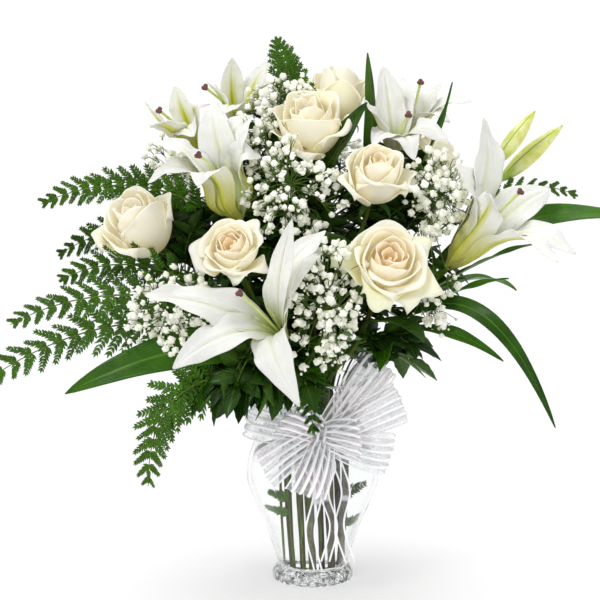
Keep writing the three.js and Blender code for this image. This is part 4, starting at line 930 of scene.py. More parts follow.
def end_places(necks):
    """Where the stems end on the floor: from left to right, each takes the free place below it."""
    rows = [(i * END_PITCH[0], END_FIRST_Y + j * END_PITCH[1])
            for j in range(-5, 6) for i in range(-4, 5)]
    free = [place for place in rows if math.hypot(*place) <= END_REACH]
    ends = {}
    for i in sorted(range(len(necks)), key=lambda k: necks[k][0]):
        x, y = necks[i]
        ends[i] = nearest(free, x * END_SPREAD[0], y * END_SPREAD[1] + END_CENTRE_Y)
    return [ends[i] for i in range(len(necks))]


def stem_route(place, rest):
    """Straight from its end on the floor to just below the neck, then a smooth curve through rest."""
    (x, y), end = place
    foot = np.array([*end, FLOOR_Z + GAP])
    neck = np.array([x, y, NECK_Z])
    mouth = np.array([x * MOUTH_SPREAD, y * MOUTH_SPREAD, RIM_Z + 6])
    below = neck + (foot - neck) * 0.2
    lower = foot + (below - foot) * np.linspace(0, 1, 9)[:-1, None]
    return np.concatenate([lower, through([below, neck, mouth, *rest], np.linspace(0, 1, 40))])


def knotty(radius, count, swell, seed):
    """A stem's radius at each station: swollen at seven knots, bells of the way, and tapered."""
    rng = np.random.default_rng(seed)
    t = np.linspace(0, 1, count)
    knots = sum(hill(t - k, 0.012) for k in np.sort(rng.uniform(0.1, 0.95, 7)))
    return radius * (1 + swell * knots) * (1 - 0.12 * t)


# ---- leaves ------------------------------------------------------------------------------------
def blade_share(t, base):
    """How wide a leaf is: narrow at its base, widest before its middle, pointed."""
    t = np.clip(t, 0, 1)
    return np.maximum(base * (1 - t), np.sin(np.pi * t**0.8) ** 0.75)


def leaf_surface(leaf, wave, fold, tone, rows=30, columns=9, base=0.2):
    """
    A leaf: at t along its parabola and u across, the middle line plus u times the half width
    sideways, folded up towards both edges, its edges waving. The sideways direction is rolled
    about the leaf's length, and turned further by its twist as t grows.
    """
    root, middle, tip, width, twist, *rolled = leaf
    t = np.linspace(0, 1, rows)
    line = bowed(root, middle, tip, t)
    ahead = unit(np.gradient(line, axis=0))
    chord = unit(np.array(tip, float) - np.array(root, float))
    roll = np.full(rows, math.radians(sum(rolled)))
    side = turned_about(np.broadcast_to(unit(np.cross(chord, UP)), line.shape), chord, roll)
    side = square_to(side, ahead)
    side = turned_about(side, ahead, twist * smoothstep(t * 1.2 - 0.1))
    up = np.cross(side, ahead)
    half = (width / 2) * blade_share(t, base) + 0.5
    u = np.linspace(-1, 1, columns)
    ripple = wave * np.sin(5.0 * np.pi * t)[:, None] * np.abs(u) ** 2 * np.sign(u + 1e-9)
    ripple = ripple * smoothstep(t * 4)[:, None] * smoothstep((1 - t) * 4)[:, None]
    lift = fold * half[:, None] * np.abs(u) ** 1.4 + ripple - 0.5 * hill(u, 0.12)
    return shell(swept(line, side, half[:, None] * u, up, lift), 0.7, tone, 1)


def leaflets(roots, aims, faces, lengths, widths, droop, tone, rows, saw=0.0, finish=0):
    """
    Small leaves, all at once. At t along and u across, a leaflet lies t times its length out along
    its aim and u times its half width sideways, an oval that is broadest before its middle, with
    every second row drawn in by saw. It folds up towards its edges and bends down by t squared.
    """
    t = np.linspace(0, 1, rows) ** 0.85
    oval = np.sin(np.pi * (0.05 + 0.94 * t) ** 0.74) * (1 - saw * (np.arange(rows) % 2))
    u = np.array([-1.0, 0.0, 1.0])
    wide = unit(np.cross(faces, aims))
    half = 0.5 * widths[:, None, None] * oval[:, None] * u
    grid = (roots[:, None] + aims[:, None] * (lengths[:, None] * t)[..., None])[:, :, None]
    rise = 0.30 * np.abs(half) - droop[:, None, None] * (t**2)[:, None]
    grid = grid + wide[:, None, None] * half[..., None] + faces[:, None, None] * rise[..., None]
    return shells(grid[:, :, ::-1], 0.4, tone, finish, across=u[::-1])


def rose_leaf(root, end, tone, rng):
    """
    A rose's leaf: a stalk that bows from the stem, then two pairs of leaflets and one at the end.
    """
    span = np.linalg.norm(end - root)
    line = bowed(root, (root + end) / 2 + UP * span * 0.10, end, np.linspace(0, 1, 9))
    way = unit(line[-1] - line[-2])
    side = unit(np.cross(way, UP + 0.5 * rng.normal(size=3)))
    roots = np.stack([line[-1], line[-2], line[-2], line[-4], line[-4]])
    aims = unit(np.stack([way, way * 0.5 + side, way * 0.5 - side, way * 0.3 + side, way * 0.3 - side])
                + UP * rng.uniform(-0.25, 0.1, (5, 1)))
    long = rng.uniform(26, 37) * np.array([1.0, 0.85, 0.85, 0.7, 0.7]) * rng.uniform(0.9, 1.1, 5)
    face = np.cross(side, way) + 0.25 * rng.normal(size=(5, 3))
    face = square_to(face, aims)
    shade = np.clip(tone + 0.12 * rng.normal(size=5), 0, 1)
    return [rod(line, 0.8, 5, tone, 2),
            leaflets(roots, aims, face, long, long * 0.58, long * 0.15, shade, 9, 0.12, 1)]


# ---- lilies ------------------------------------------------------------------------------------
def tepal_share(s):
    """How wide a tepal is: a claw, a broad middle beyond its half and a rounded tip."""
    s = np.clip(s, 0, 1)
    return (0.27 * (1 - s) + 0.05 + 0.93 * np.sin(np.pi * s**1.2) ** 0.8) / 1.04


def tepal_surface(lily, tepal, inner, seed):
    """
    A tepal: the middle line is the cubic from the receptacle up the tube and out to the tip. At u
    across, the point is that line plus u times the half width sideways, cupped towards the front
    by u squared, creased along the midrib between two soft ridges, ruffled at its edges and bent
    back near its tip. The bulge is a bell of s near the base. Inner tepals are wider and lie
    within the outer ones.
    """
    tip, width, ruffle, twist, curl = tepal
    rows, columns = 46, 21
    s = np.linspace(0, 1, rows)
    u = np.linspace(-1, 1, columns)
    base, throat, tip = (np.array(p, float) for p in (lily["base"], lily["throat"], tip))
    axis = unit(throat - base)
    out = square_to(tip - throat, axis)
    reach = np.linalg.norm(tip - throat)
    start = base + axis * 2 + out * (3.0 if inner else 4.0)
    lower = throat + out * lily.get("funnel", FUNNEL_RADIUS) * (0.65 if inner else 0.9)
    upper = throat + axis * reach * 0.4 + out * reach * 0.35
    line = bezier([start, lower, upper, tip], s)
    line = line + out * (lily.get("bulge", 0) * hill(s - 0.16, 0.13) * smoothstep(s * 12))[:, None]
    ahead = unit(np.gradient(line, axis=0))
    side = np.broadcast_to(np.cross(axis, out), line.shape)
    side = square_to(side, ahead)
    side = turned_about(side, ahead, twist * smoothstep(s * 1.3 - 0.3))
    back = np.cross(side, ahead)
    off_axis = np.linalg.norm(np.cross(line - base, axis), axis=-1)
    half = np.minimum(width / 2 * tepal_share(s), off_axis * (0.95 if inner else 0.8) + 1)
    rng = np.random.default_rng(seed)
    phase = rng.uniform(0, 6.28, 4)
    envelope = smoothstep((s - 0.2) * 3) * smoothstep((1 - s) * 6)
    left = np.sin(2 * np.pi * 2.1 * s + phase[0]) + 0.45 * np.sin(2 * np.pi * 4.6 * s + phase[1])
    right = np.sin(2 * np.pi * 1.8 * s + phase[2]) + 0.45 * np.sin(2 * np.pi * 4.2 * s + phase[3])
    frill = np.where(u[None] < 0, left[:, None], right[:, None]) * np.abs(u) ** 2.2
    cup = 0.40 - 0.24 * smoothstep(s * 1.4 - 0.2)
    lift = -cup[:, None] * half[:, None] * u**2 + 1.6 * ruffle * envelope[:, None] * frill
    crease = (1.5 * hill(u, 0.09) - 0.75 * hill(np.abs(u) - 0.26, 0.13)
              - 0.3 * hill(np.abs(u) - 0.62, 0.1))
    lift += crease * smoothstep((1 - s) * 4)[:, None]
    lift += (curl * smoothstep((s - 0.55) / 0.45) ** 2)[:, None]
    thick = 0.45 + 0.75 * hill(u, 0.3)
    return shell(swept(line, side, half[:, None] * u, back, lift), thick)


def build_lily(number, lily):
    """A bloom: six tepals round a receptacle, and the short filaments left in its throat."""
    base, throat = (np.array(lily[k], float) for k in ("base", "throat"))
    axis = unit(throat - base)
    parts = [balls([base + axis * 3], RECEPTACLE_RADIUS - 0.8, 7, 12, 0.0, finish=1)]
    for i, tepal in enumerate(lily["tepals"]):
        parts.append(tepal_surface(lily, tepal, i % 2 == 1, 100 * number + i))
    tube = np.linalg.norm(throat - base)
    spoke = spokes(axis, [0.3, 0.2, 1.0], (np.arange(6) + 0.5) * np.pi / 3)
    t = np.linspace(0, 1, 7)
    rise, reach = 4 + tube * 0.95 * t, 2.5 + 6 * t**1.6
    paths = base + axis * rise[:, None] + spoke[:, None] * reach[:, None]
    parts.append(rods(paths, 0.85 - 0.35 * t, 6, finish=1))
    petal = {1: LILY_PALE, 3: LILY_GREEN, 4: LILY_GREEN, 5: LILY_PALE, 6: LILY_PALE}.get(number, LILY)
    make_piece(f"lily_bloom_{number}_petals", parts, [petal, STYLE], [f"lily_bloom_{number}"])
    return parts


def build_pistil(number, lily):
    """The style rises from the bottom of the tube to a stigma of three joined lobes."""
    base, throat, stigma = (np.array(lily[k], float) for k in ("base", "throat", "stigma"))
    axis = unit(throat - base)
    t = np.linspace(0, 1, 22)
    line = bezier([base + axis * 6.6, throat, stigma], t)
    ahead = unit(line[-1] - line[-2])
    lobes = stigma + 1.7 * spokes(ahead, UP, np.arange(3) * 2 * np.pi / 3 + 0.4)
    parts = [rod(line, 1.5 - 0.35 * np.sin(np.pi * t) + 0.5 * smoothstep((t - 0.93) / 0.07), 10),
             balls(lobes, 2.35, 6, 9, 0.05, finish=1, seed=number)]
    make_piece(f"lily_pistil_{number}_style", parts, [STYLE, STIGMA], [f"lily_pistil_{number}"])


def build_bud(number, bud):
    """
    A closed bud: a spindle whose radius follows a power of a sine, drawn in at three seams by the
    root of a cosine of the angle.
    """
    start, end = (np.array(bud[k], float) for k in ("base", "tip"))
    rows, columns = 34, 36
    s = np.linspace(0.0, 1.0, rows)[1:-1]
    angle = np.arange(columns) * 2 * np.pi / columns
    radius = bud["radius"] * np.sin(np.pi * s**0.85) ** 0.8
    seam = 1 - np.abs(np.cos(1.5 * angle)) ** 0.5
    fold = 1 - 0.07 * seam
    axis = unit(end - start)
    line = start + (end - start) * s[:, None]
    skin = line[:, None] + (radius[:, None] * fold)[..., None] * spokes(axis, [0, 1, 0], angle)
    points = np.concatenate([skin.reshape(-1, 3), [start, end]])
    along = np.append(np.repeat(s, columns), [0, 1])
    seams = np.append(np.tile(seam, len(s)), [0.5, 0.5])
    part = surface(points, grid_quads(len(s), columns, wrap=True), fans(len(s), columns), along,
                   seams)
    make_piece(f"lily_bud_{number}_closed", [part], [BUD], [f"lily_bud_{number}"])


def build_lily_stem(number, stem, place):
    """
    A lily stem with a pedicel to each of its blooms and buds, its leaves, and narrow blades that
    stand out from it above the rim.
    """
    route = stem_route(place, [*stem["via"], stem["top"]])
    thick = knotty(LILY_STEM_RADIUS, len(route), 0.10, number)
    own_tone = 0.22 * number - 0.1
    parts = [rod(route, thick, 14, own_tone)]
    top = np.array(stem["top"], float)
    rising = unit(route[-1] - route[-2])
    t = np.linspace(0, 1, 18)
    for head in [h for h in LILIES + BUDS if h["stem"] == number - 1]:
        base = np.array(head["base"], float)
        facing = unit(np.array(head.get("throat", head.get("tip")), float) - base)
        reach = np.linalg.norm(base - top) * 0.45
        line = bezier([top - rising * 2, top + rising * reach, base - facing * reach, base + facing], t)
        parts.append(rod(line, PEDICEL_RADIUS * (1.15 - 0.3 * np.sin(np.pi * t)), 10))
    rng = np.random.default_rng(number)
    for leaf in stem["leaves"]:
        parts.append(leaf_surface(leaf, 1.4, 0.25, rng.uniform(0.25, 0.85)))
    free = route[route[:, 2] > RIM_Z + 12]
    for share in np.linspace(0.05, 0.9, 7):
        at = free[int(share * (len(free) - 1))]
        out = unit(np.array([at[0], at[1] + 8, 0]) + 45 * rng.normal(size=3) * np.array([1, 1, 0]))
        reach = rng.uniform(48, 74)
        tip = at + out * reach + UP * reach * rng.uniform(-0.1, 0.7)
        middle = (at + tip) / 2 + UP * reach * 0.12
        blade = (at, middle, tip, rng.uniform(11, 17), rng.uniform(-0.8, 0.8), rng.uniform(-50, 50))
        parts.append(leaf_surface(blade, 0.8, 0.25, rng.uniform(0.0, 0.6), rows=18, columns=7))
    make_piece(f"lily_stem_{number}_green", parts, [STEM, LEAF], [f"lily_stem_{number}"])


# ---- roses -------------------------------------------------------------------------------------
def rose_frame(rose):
    """The base of a rose's head and three directions: two across it and its axis."""
    axis = unit(np.array(rose["axis"], float))
    base = np.array(rose["centre"], float) - 0.72 * rose["radius"] * rose["tall"] * axis
    across = unit(np.cross([0.3, 1.0, 0.2], axis))
    return base, across, np.cross(axis, across), axis


def rose_petal(rose, petal, rng):
    """
    A petal of the head. At s from base to rim and u across, it stands round the axis at its own
    angle plus its half angle times u times the width share, broad up to its rounded corners or, on
    a petal bent far back, narrowed towards a corner. Its radius is the belly times a power of the
    sine of s, whose arc ends past the widest place on a closed petal and at it on an open one. Its
    height grows with s, falls towards the corners and waves at the rim, which rolls out and down.
    One side tucks under its neighbour.
    """
    level, angle, half_angle, belly, arc, height, roll, tone, corner = petal
    rows, columns = 21, 21
    s = np.linspace(0, 1, rows)[:, None]
    u = np.linspace(-1, 1, columns)[None]
    wave, sway, lean = rng.uniform(0, 6.28, 3)
    r = belly * np.sin(np.pi * (0.05 + arc * s**0.85)) ** 0.8
    z = height * s**1.1 * (1 - 0.17 * u**2 * s**2 - 0.15 * u**6 * s**4)
    z = z + 0.10 * np.cos(lean) * u * s**2 * (0.4 + 0.6 * level)
    lip = np.clip((s - 0.66) / 0.34, 0, 1) ** 2
    r = r + roll * lip * (1 + 0.35 * np.sin(2.2 * u + wave))
    z = z - 0.9 * roll * lip**1.4 * (1 + 0.3 * np.sin(2.2 * u + wave))
    z = z + 0.045 * (0.4 + level) * np.sin(3.6 * u + sway) * s**4
    r = r * (1 + 0.10 * u) + 0.036 * (0.3 + level) * np.sin(4.6 * u + wave) * s**3
    r = r + 0.014 * np.sin(9 * u + sway) * s**6
    width = np.sin(np.pi * (0.15 + 0.60 * s)) ** 0.5 * (1 - 0.55 * corner * smoothstep(s * 2 - 0.9))
    phi = angle + half_angle * width * u
    base, across, up, axis = rose_frame(rose)
    ring = across * np.cos(phi)[..., None] + up * np.sin(phi)[..., None]
    rise = rose["tall"] * z * np.ones_like(u)
    grid = base + rose["radius"] * (r[..., None] * ring + rise[..., None] * axis)
    return shell(grid[:, ::-1], 0.6, tone)


def build_rose(number, rose):
    """
    A head: a heart of petals wrapped far round, one golden angle after another, within wider ones
    that open as far as the rose has, and guard petals that stand away from it.
    """
    rng = np.random.default_rng(40 + number)
    opened, blush = rose["open"], rose["blush"]
    count, guards = (19 if opened > 0.5 else 15), 2 + round(2 * opened)
    parts = []
    for i in range(count):
        level = (i + 0.4) / count
        belly = (0.08 + 0.86 * level**0.9) * rng.uniform(0.95, 1.05)
        spread = opened * smoothstep((level - 0.30) / 0.60)
        arc = 0.73 - 0.27 * spread - 0.04 * (1 - level)
        height = (1.26 + 0.10 * (1 - opened)) * (1 - 0.24 * (1 - level) ** 3 - 0.08 * level)
        height = height - 0.34 * spread
        height = height * rng.uniform(0.95, 1.05)
        wrap = 1.9 - 0.80 * level - 0.15 * spread + rng.uniform(-0.1, 0.1)
        roll = (0.04 + 0.10 * level + 0.10 * spread) * rng.uniform(0.6, 1.4)
        tone = np.clip(1 - blush * (1.1 - 1.5 * level), 0, 1)
        corner = 0.0
        if i >= count - guards:
            belly, arc, height = belly * rng.uniform(1.0, 1.08), arc - 0.12, height * 0.84
            wrap, roll, corner = 1.0, 0.12 + 0.10 * opened, opened
            tone = 1 + rose["guard"] * rng.uniform(0.5, 1.0)
        angle = rose["turn"] + i * GOLDEN_ANGLE + rng.uniform(-0.3, 0.3)
        petal = (level, angle, wrap, belly, arc, height, roll, tone, corner)
        parts.append(rose_petal(rose, petal, rng))
    base, _, _, axis = rose_frame(rose)
    size = rose["radius"]
    t = np.linspace(0, 1, 9)
    core = base + axis * (size * rose["tall"] * (0.05 + 0.75 * t))[:, None]
    parts.append(rod(core, size * 0.09 * np.sin(np.pi * (0.1 + 0.8 * t)), 8, 0.0))
    make_piece(f"rose_bloom_{number}_petals", parts, [ROSE], [f"rose_bloom_{number}"])
    return parts


def cloud_places(centre, size, count, share):
    """Places in a cloud: spread over its round by the golden angle, each its share of the way out."""
    i = np.arange(count)
    height = 2 * (i + 0.5) / count - 1
    ring, turn = np.sqrt(1 - height**2), i * GOLDEN_ANGLE
    way = np.stack([ring * np.cos(turn), ring * np.sin(turn), height], -1)
    return np.array(centre, float) + way * share[:, None] * np.array(size, float)


def build_rose_stem(number, rose, place, ends):
    """A rose's stem with its hip, five narrow sepals and its leaves, the small ones to their ends."""
    base, across, up, axis = rose_frame(rose)
    size = rose["radius"]
    route = stem_route(place, [*rose["via"], base - axis * 0.5 * size, base])
    thick = knotty(ROSE_STEM_RADIUS, len(route), 0.14, 20 + number)
    own_tone = number * 0.37 % 1
    parts = [rod(route, thick, 12, own_tone)]
    t = np.linspace(0, 1, 12)
    hip = base + axis * (-9 + 14 * t)[:, None]
    parts.append(rod(hip, 2.6 + 4.6 * np.sin(np.pi * t**1.3) ** 0.9, 14))
    s, u = np.linspace(0, 1, 12)[:, None], np.linspace(-1, 1, 5)[None]
    for k in range(5):
        angle = k * 2 * np.pi / 5 + rose["turn"]
        out = across * np.cos(angle) + up * np.sin(angle)
        round_it = np.cross(axis, out)
        r = (5 + size * (0.62 * np.sin(np.pi * 0.55 * s))) * np.ones_like(u)
        z = (size * (0.05 + 0.18 * s - 0.55 * s**2.2)) * np.ones_like(u)
        wide = 4.6 * (1 - s) ** 0.8 * u
        grid = base + out * r[..., None] + axis * z[..., None] + round_it * wide[..., None]
        parts.append(shell(grid[:, ::-1], 0.6, 0.6, 1))
    rng = np.random.default_rng(60 + number)
    for leaf in rose["leaves"]:
        parts.append(leaf_surface(leaf, 0.6, 0.22, rng.uniform(0.2, 0.6), base=0.1))
    free = route[route[:, 2] > RIM_Z + 8]
    for end in ends:
        root = free[np.linalg.norm(free - end + UP * 28, axis=1).argmin()]
        parts += rose_leaf(root, end, rng.uniform(0.0, 0.6), rng)
    make_piece(f"rose_stem_{number}_green", parts, [ROSE_STEM, ROSE_LEAF, STALK],
               [f"rose_stem_{number}"])


# ---- fern --------------------------------------------------------------------------------------
def pinna_leaves(roots, aims, faces, lengths, shade, rng):
    """
    Pinnae: each a thin rib from its root along its aim, bent down by the square of the way, with
    pairs of leaflets that point forwards, shorter and shorter towards the last one at its end.
    """
    n, pairs = len(roots), 8
    sag = lengths * rng.uniform(0.02, 0.16, n)
    k = np.linspace(0, 0.9, 6)[None, :, None]
    ribs = (roots[:, None] + aims[:, None] * (lengths[:, None, None] * k)
            - faces[:, None] * (sag[:, None, None] * k**2 - 0.25))
    parts = [rods(ribs, 0.5 - 0.3 * k[0, :, 0], 4, 0.3, 1)]
    share = np.append(np.repeat((np.arange(pairs) + 0.35) / (pairs + 0.8), 2), 0.86)
    turn = np.append(np.tile([1.0, -1.0], pairs), 0)
    wide = unit(np.cross(faces, aims))
    at = (roots[:, None] + aims[:, None] * (lengths[:, None] * share)[..., None]
          - faces[:, None] * (sag[:, None] * share**2 - 0.3)[..., None])
    way = unit(aims[:, None] * (0.9 + 0.5 * share)[None, :, None] + wide[:, None] * turn[None, :, None]
               + 0.08 * rng.normal(size=(n, len(share), 3)))
    face = faces[:, None] + 0.22 * rng.normal(size=way.shape)
    face = square_to(face, way)
    long = lengths[:, None] * (0.27 - 0.17 * share) * rng.uniform(0.9, 1.1, at.shape[:2]) + 1.4
    tone = np.clip(shade[:, None] + 0.22 * rng.normal(size=long.shape), 0, 1)
    flat = [v.reshape(-1, 3) for v in (at, way, face)]
    long = long.ravel()
    parts.append(leaflets(*flat, long, long * 0.40, long * 0.12, tone.ravel(), 6))
    return parts


def build_frond(number, fern, place):
    """
    A frond: its stalk from the vase, its midrib bent as a parabola, and pairs of pinnae whose
    reach follows the frond's outline, wide near its base and tapering to its tip. More of them
    stand on the stalk above the rim, a few on some stalks in the water, and a small one ends it.
    """
    rng = np.random.default_rng(80 + number)
    start, middle, end = (np.array(fern[k], float) for k in ("base", "middle", "tip"))
    way = unit(middle - start)
    route = stem_route(place, [start - way * 22, start + way * 3])
    parts = [rod(route, FERN_STALK_RADIUS * np.linspace(1, 0.8, len(route)), 8, rng.uniform(), 1)]
    t = np.linspace(0, 1, 40)
    rib = bowed(start, middle, end, t)
    length = np.linalg.norm(np.diff(rib, axis=0), axis=1).sum()
    parts.append(rod(rib, 1.2 - 0.85 * t, 8, 0.2, 1))
    pairs = max(6, int(round(length / fern.get("pitch", 12.0))))
    s = 1 - (1 - (np.arange(pairs) + 0.3) / pairs) ** 1.1
    reach = fern["width"] / 2 * (1 - s) ** 0.62 * (1 - 0.25 * np.exp(-9 * s)) + 3.0
    point = bowed(start, middle, end, s)
    ahead = unit(bowed(start, middle, end, s + 0.01) - point)
    across = unit(np.cross(ahead, UP))
    across = turned_about(across, ahead, np.full(pairs, math.radians(fern["roll"])))
    low = np.unique((np.linspace(0.60, 0.99, 10) * (len(route) - 1)).astype(int))
    stalk, below = route[low], unit(route[low] - route[low - 1])
    beside = unit(np.cross(below, UP + 0.01))
    keep = stalk[:, 2] > RIM_Z + 10
    point, ahead = np.concatenate([stalk[keep], point]), np.concatenate([below[keep], ahead])
    across = np.concatenate([beside[keep], across])
    reach = np.concatenate([np.full(keep.sum(), fern["width"] * 0.52), reach])
    s = np.concatenate([np.zeros(keep.sum()), s])
    n = len(s)
    for sign in (-1, 1):
        sweep = (0.60 + 0.5 * s)[:, None]
        aims = unit(sign * across + sweep * ahead + rng.normal(size=(n, 3)) * 0.07)
        face = np.cross(across, ahead) + 0.14 * rng.normal(size=(n, 3))
        face = square_to(face, aims)
        long = reach * rng.uniform(0.88, 1.12, n) * fern.get("lush", 1.0)
        shade = np.clip(0.42 + 0.26 * rng.normal(size=n), 0, 1)
        parts += pinna_leaves(point, aims, face, long, shade, rng)
    tip_way = unit(rib[-1] - rib[-3])
    across = turned_about(unit(np.cross(tip_way, UP)), tip_way, np.array(math.radians(fern["roll"])))
    for height, aim, long in fern.get("wet", []):
        root = route[np.abs(route[:, 2] - height).argmin()][None]
        aims = unit(np.array([aim], float))
        face = unit(np.cross(aims, [0.3, 0.2, 1.0]))
        parts += pinna_leaves(root, aims, face, np.array([float(long)]), np.array([0.6]), rng)
    parts += pinna_leaves(rib[-4:-3], tip_way[None], np.cross(across, tip_way)[None], np.array([11.0]),
                          np.array([0.6]), rng)
    make_piece(f"fern_frond_{number}_green", parts, [FERN, STALK], [f"fern_frond_{number}"])


# ---- baby's breath -----------------------------------------------------------------------------
def build_spray(number, spray, place, taken):
    """
    A spray: clusters spread over its clouds by the golden angle. A branch bows from the stalk to
    each cluster, whose florets stand on short twigs round its end, with smaller closed buds
    between them. Florets that would lie in a rose or a lily are left out.
    """
    rng = np.random.default_rng(120 + number)
    hub, centre = (np.array(spray[k], float) for k in ("hub", "centre"))
    route = stem_route(place, [hub, centre])
    parts = [rod(route, SPRAY_STALK_RADIUS * np.linspace(1, 0.45, len(route)), 8, rng.uniform(), 1)]
    stalk = route[route[:, 2] > RIM_Z + 10]
    for where, size, count in spray["clouds"]:
        groups = max(5, int(count / 2.2))
        share = 0.35 + 0.65 * rng.uniform(0, 1, groups) ** 0.45
        ends = cloud_places(where, size, groups, share) + rng.normal(size=(groups, 3)) * 3
        which = np.repeat(np.arange(groups), rng.integers(2, 5, groups))
        way = unit(rng.normal(size=(len(which), 3)))
        heads = ends[which] + way * rng.uniform(4, 13, (len(which), 1))
        radius = rng.uniform(2.4, 4.1, len(which))
        free = np.linalg.norm(heads[:, None] - taken[None], axis=-1).min(1) > radius + 1.2
        which, heads, radius = which[free], heads[free], radius[free]
        used, which = np.unique(which, return_inverse=True)
        ends = ends[used]
        fork = stalk[np.linalg.norm(ends[:, None] - (stalk - UP * 22)[None], axis=-1).argmin(1)]
        far = np.linalg.norm(fork - ends, axis=-1)[:, None]
        inner = ends + (fork - ends) * 12 / np.maximum(far, 12)
        t = np.linspace(0, 1, 9)[None, :, None]
        bow = np.sin(np.pi * t) * (rng.normal(size=(len(ends), 1, 3)) * 2.5 + UP * 2)
        branches = fork[:, None] + (inner - fork)[:, None] * t + bow
        parts.append(rods(branches, (0.6 - 0.2 * t[..., 0]) * np.ones((len(ends), 1)), 5, 0.2, 1))
        base = inner[which]
        t = np.linspace(0, 1, 5)[None, :, None]
        bow = np.sin(np.pi * t) * rng.normal(size=(len(heads), 1, 3)) * 1.2
        parts.append(rods(base[:, None] + (heads - base)[:, None] * t + bow, TWIG_RADIUS, 4, 0.2, 1))
        shade = np.clip(0.8 + 0.2 * rng.normal(size=len(heads)), 0, 1)
        parts.append(balls(heads, radius, 5, 9, 0.32, shade, seed=number))
        few = rng.permutation(np.repeat(np.arange(len(heads)), 2))[: len(heads)]
        tips = base[few] + (heads[few] - base[few]) * 0.9 + rng.normal(size=(len(few), 3)) * 5.5
        parts.append(rods(np.stack([base[few], (base[few] + tips) / 2 + 1, tips], 1), 0.3, 4, 0.2, 1))
        parts.append(balls(tips, rng.uniform(0.9, 1.7, len(few)), 3, 5, 0.1, 0.5, seed=number + 9))
    make_piece(f"babys_breath_{number}_spray", parts, [FLORET, TWIG], [f"babys_breath_{number}"])


# ---- ribbon ------------------------------------------------------------------------------------
# Each loop is (reach from the knot, puff): puff is how far its two sides stand apart.
LOOPS = [
    ((-72, -4, 22), 17), ((-58, -16, -30), 13), ((-14, -36, -52), 10), ((80, -6, 34), 18),
    ((68, -16, -18), 14), ((60, 16, 72), 14), ((-34, -30, 26), 12), ((36, -34, 4), 12),
]
# Each tail is (the places it hangs through, width).
TAILS = [
    ([(2, -66, 150), (-4, -67, 132), (4, -72, 106), (-3, -72, 66), (5, -71, 26)], 10.5),
    ([(10, -67, 152), (18, -68, 132), (11, -72, 106), (20, -72, 72), (12, -72, 36)], 10),
    ([(16, -64, 152), (24, -64, 132), (32, -68, 106), (26, -69, 72), (37, -64, 32)], 11),
]


def loop_grid(reach, puff):
    """
    A loop of the bow: the middle line is the cubic that leaves the knot, turns over beyond the
    reach and comes back. Across it the strip is gathered at the knot into pleats, a sine of u, and
    spreads to its full width at the fold, where the satin stripes stand proud of the clear ground.
    It is crumpled by the product of two sines and sways sideways along its length.
    """
    rows, columns = 61, 41
    s, u = np.linspace(0, 1, rows), np.linspace(-1, 1, columns)
    far = np.array(reach, float)
    side = unit(np.cross(far, [0, -1.0, 0]))
    opening = unit(np.cross(side, far))
    turn = KNOT + far * 1.3
    leaving = KNOT + far * 8 / np.linalg.norm(far)
    line = bezier([leaving + opening * 3, turn + opening * puff * 1.35, turn - opening * puff * 1.35,
                   leaving - opening * 3], s)
    gathered = 0.56 + 0.44 * np.sin(np.pi * s) ** 0.6
    ahead = unit(np.gradient(line, axis=0))
    normal = np.cross(side, ahead)
    pleat = np.sin(3.5 * np.pi * u + 0.8 * np.sin(3 * np.pi * s)[:, None])
    pleat = (2.6 * (1 - gathered) ** 0.8)[:, None] * pleat
    ridge = 0.8 * gathered[:, None] * -np.cos(5 * np.pi * u)
    arch = -0.06 * RIBBON_WIDTH * u**2 * gathered[:, None]
    crumple = 1.3 * np.sin(17 * s[:, None] + 4 * u + far[0]) * np.sin(2.6 * u + 9 * s[:, None])
    sway = 3.0 * np.sin(2 * np.pi * s + far[2])[:, None]
    grid = line[:, None] + side * (RIBBON_WIDTH / 2 * gathered[:, None] * u + sway)[..., None]
    return grid + normal[:, None] * (pleat + ridge + arch + crumple)[..., None]


def build_ribbon():
    """
    The band round the neck, the loops and knot of the bow, and the tails. The band has two gaps
    between its stripes, a loop five, the knot three and a tail one, which gives their tones.
    """
    angle = np.linspace(0, 2 * np.pi, 181)
    v = np.linspace(-1, 1, 21)
    z = NECK_Z - 6 + BAND_WIDTH / 2 * v
    r = inside_radius(z) + WALL + 1.5 + 0.3 * np.cos(2 * np.pi * (v + 1))
    ring = np.stack([-np.sin(angle)[:, None] * r, np.cos(angle)[:, None] * r,
                     np.broadcast_to(z, (len(angle), len(v)))], -1)
    band = make_piece("ribbon_band_strip", [shell(ring, 0.4, 0.2)], [RIBBON], ["ribbon_band"])
    for i, (reach, puff) in enumerate(LOOPS):
        grid = loop_grid(reach, puff)
        loop = make_piece(f"ribbon_bow_loop_{i + 1}", [shell(grid, 0.35, 0.5)], [RIBBON],
                          ["ribbon_bow"] if i == 0 else ())
    angle, u = np.linspace(0, 2 * np.pi, 61)[:, None], np.linspace(-1, 1, 25)[None]
    r = (1 - 0.25 * u**2) * (1 + 0.06 * np.cos(3 * np.pi * u + np.sin(angle)))
    grid = KNOT + np.stack([10 * u + 1.5 * np.sin(angle), -7.5 * np.cos(angle) * r,
                            11 * np.sin(angle) * r], -1)
    knot = make_piece("ribbon_bow_knot", [shell(grid[:, ::-1], 0.4, 0.3)], [RIBBON], ())
    for i, (points, width) in enumerate(TAILS):
        s, u = np.linspace(0, 1, 60), np.linspace(-1, 1, 9)
        line = through(points, s)
        turn = 0.5 * np.sin(5 * s + i)
        side = np.stack([np.cos(turn), np.sin(turn) * 0.5, 0 * s], -1)
        grid = line[:, None] + side[:, None] * (width / 2 * u)[None, :, None]
        tail = make_piece(f"ribbon_tail_{i + 1}_strip", [shell(grid, 0.3, 0.1)], [RIBBON],
                          [f"ribbon_tail_{i + 1}"])


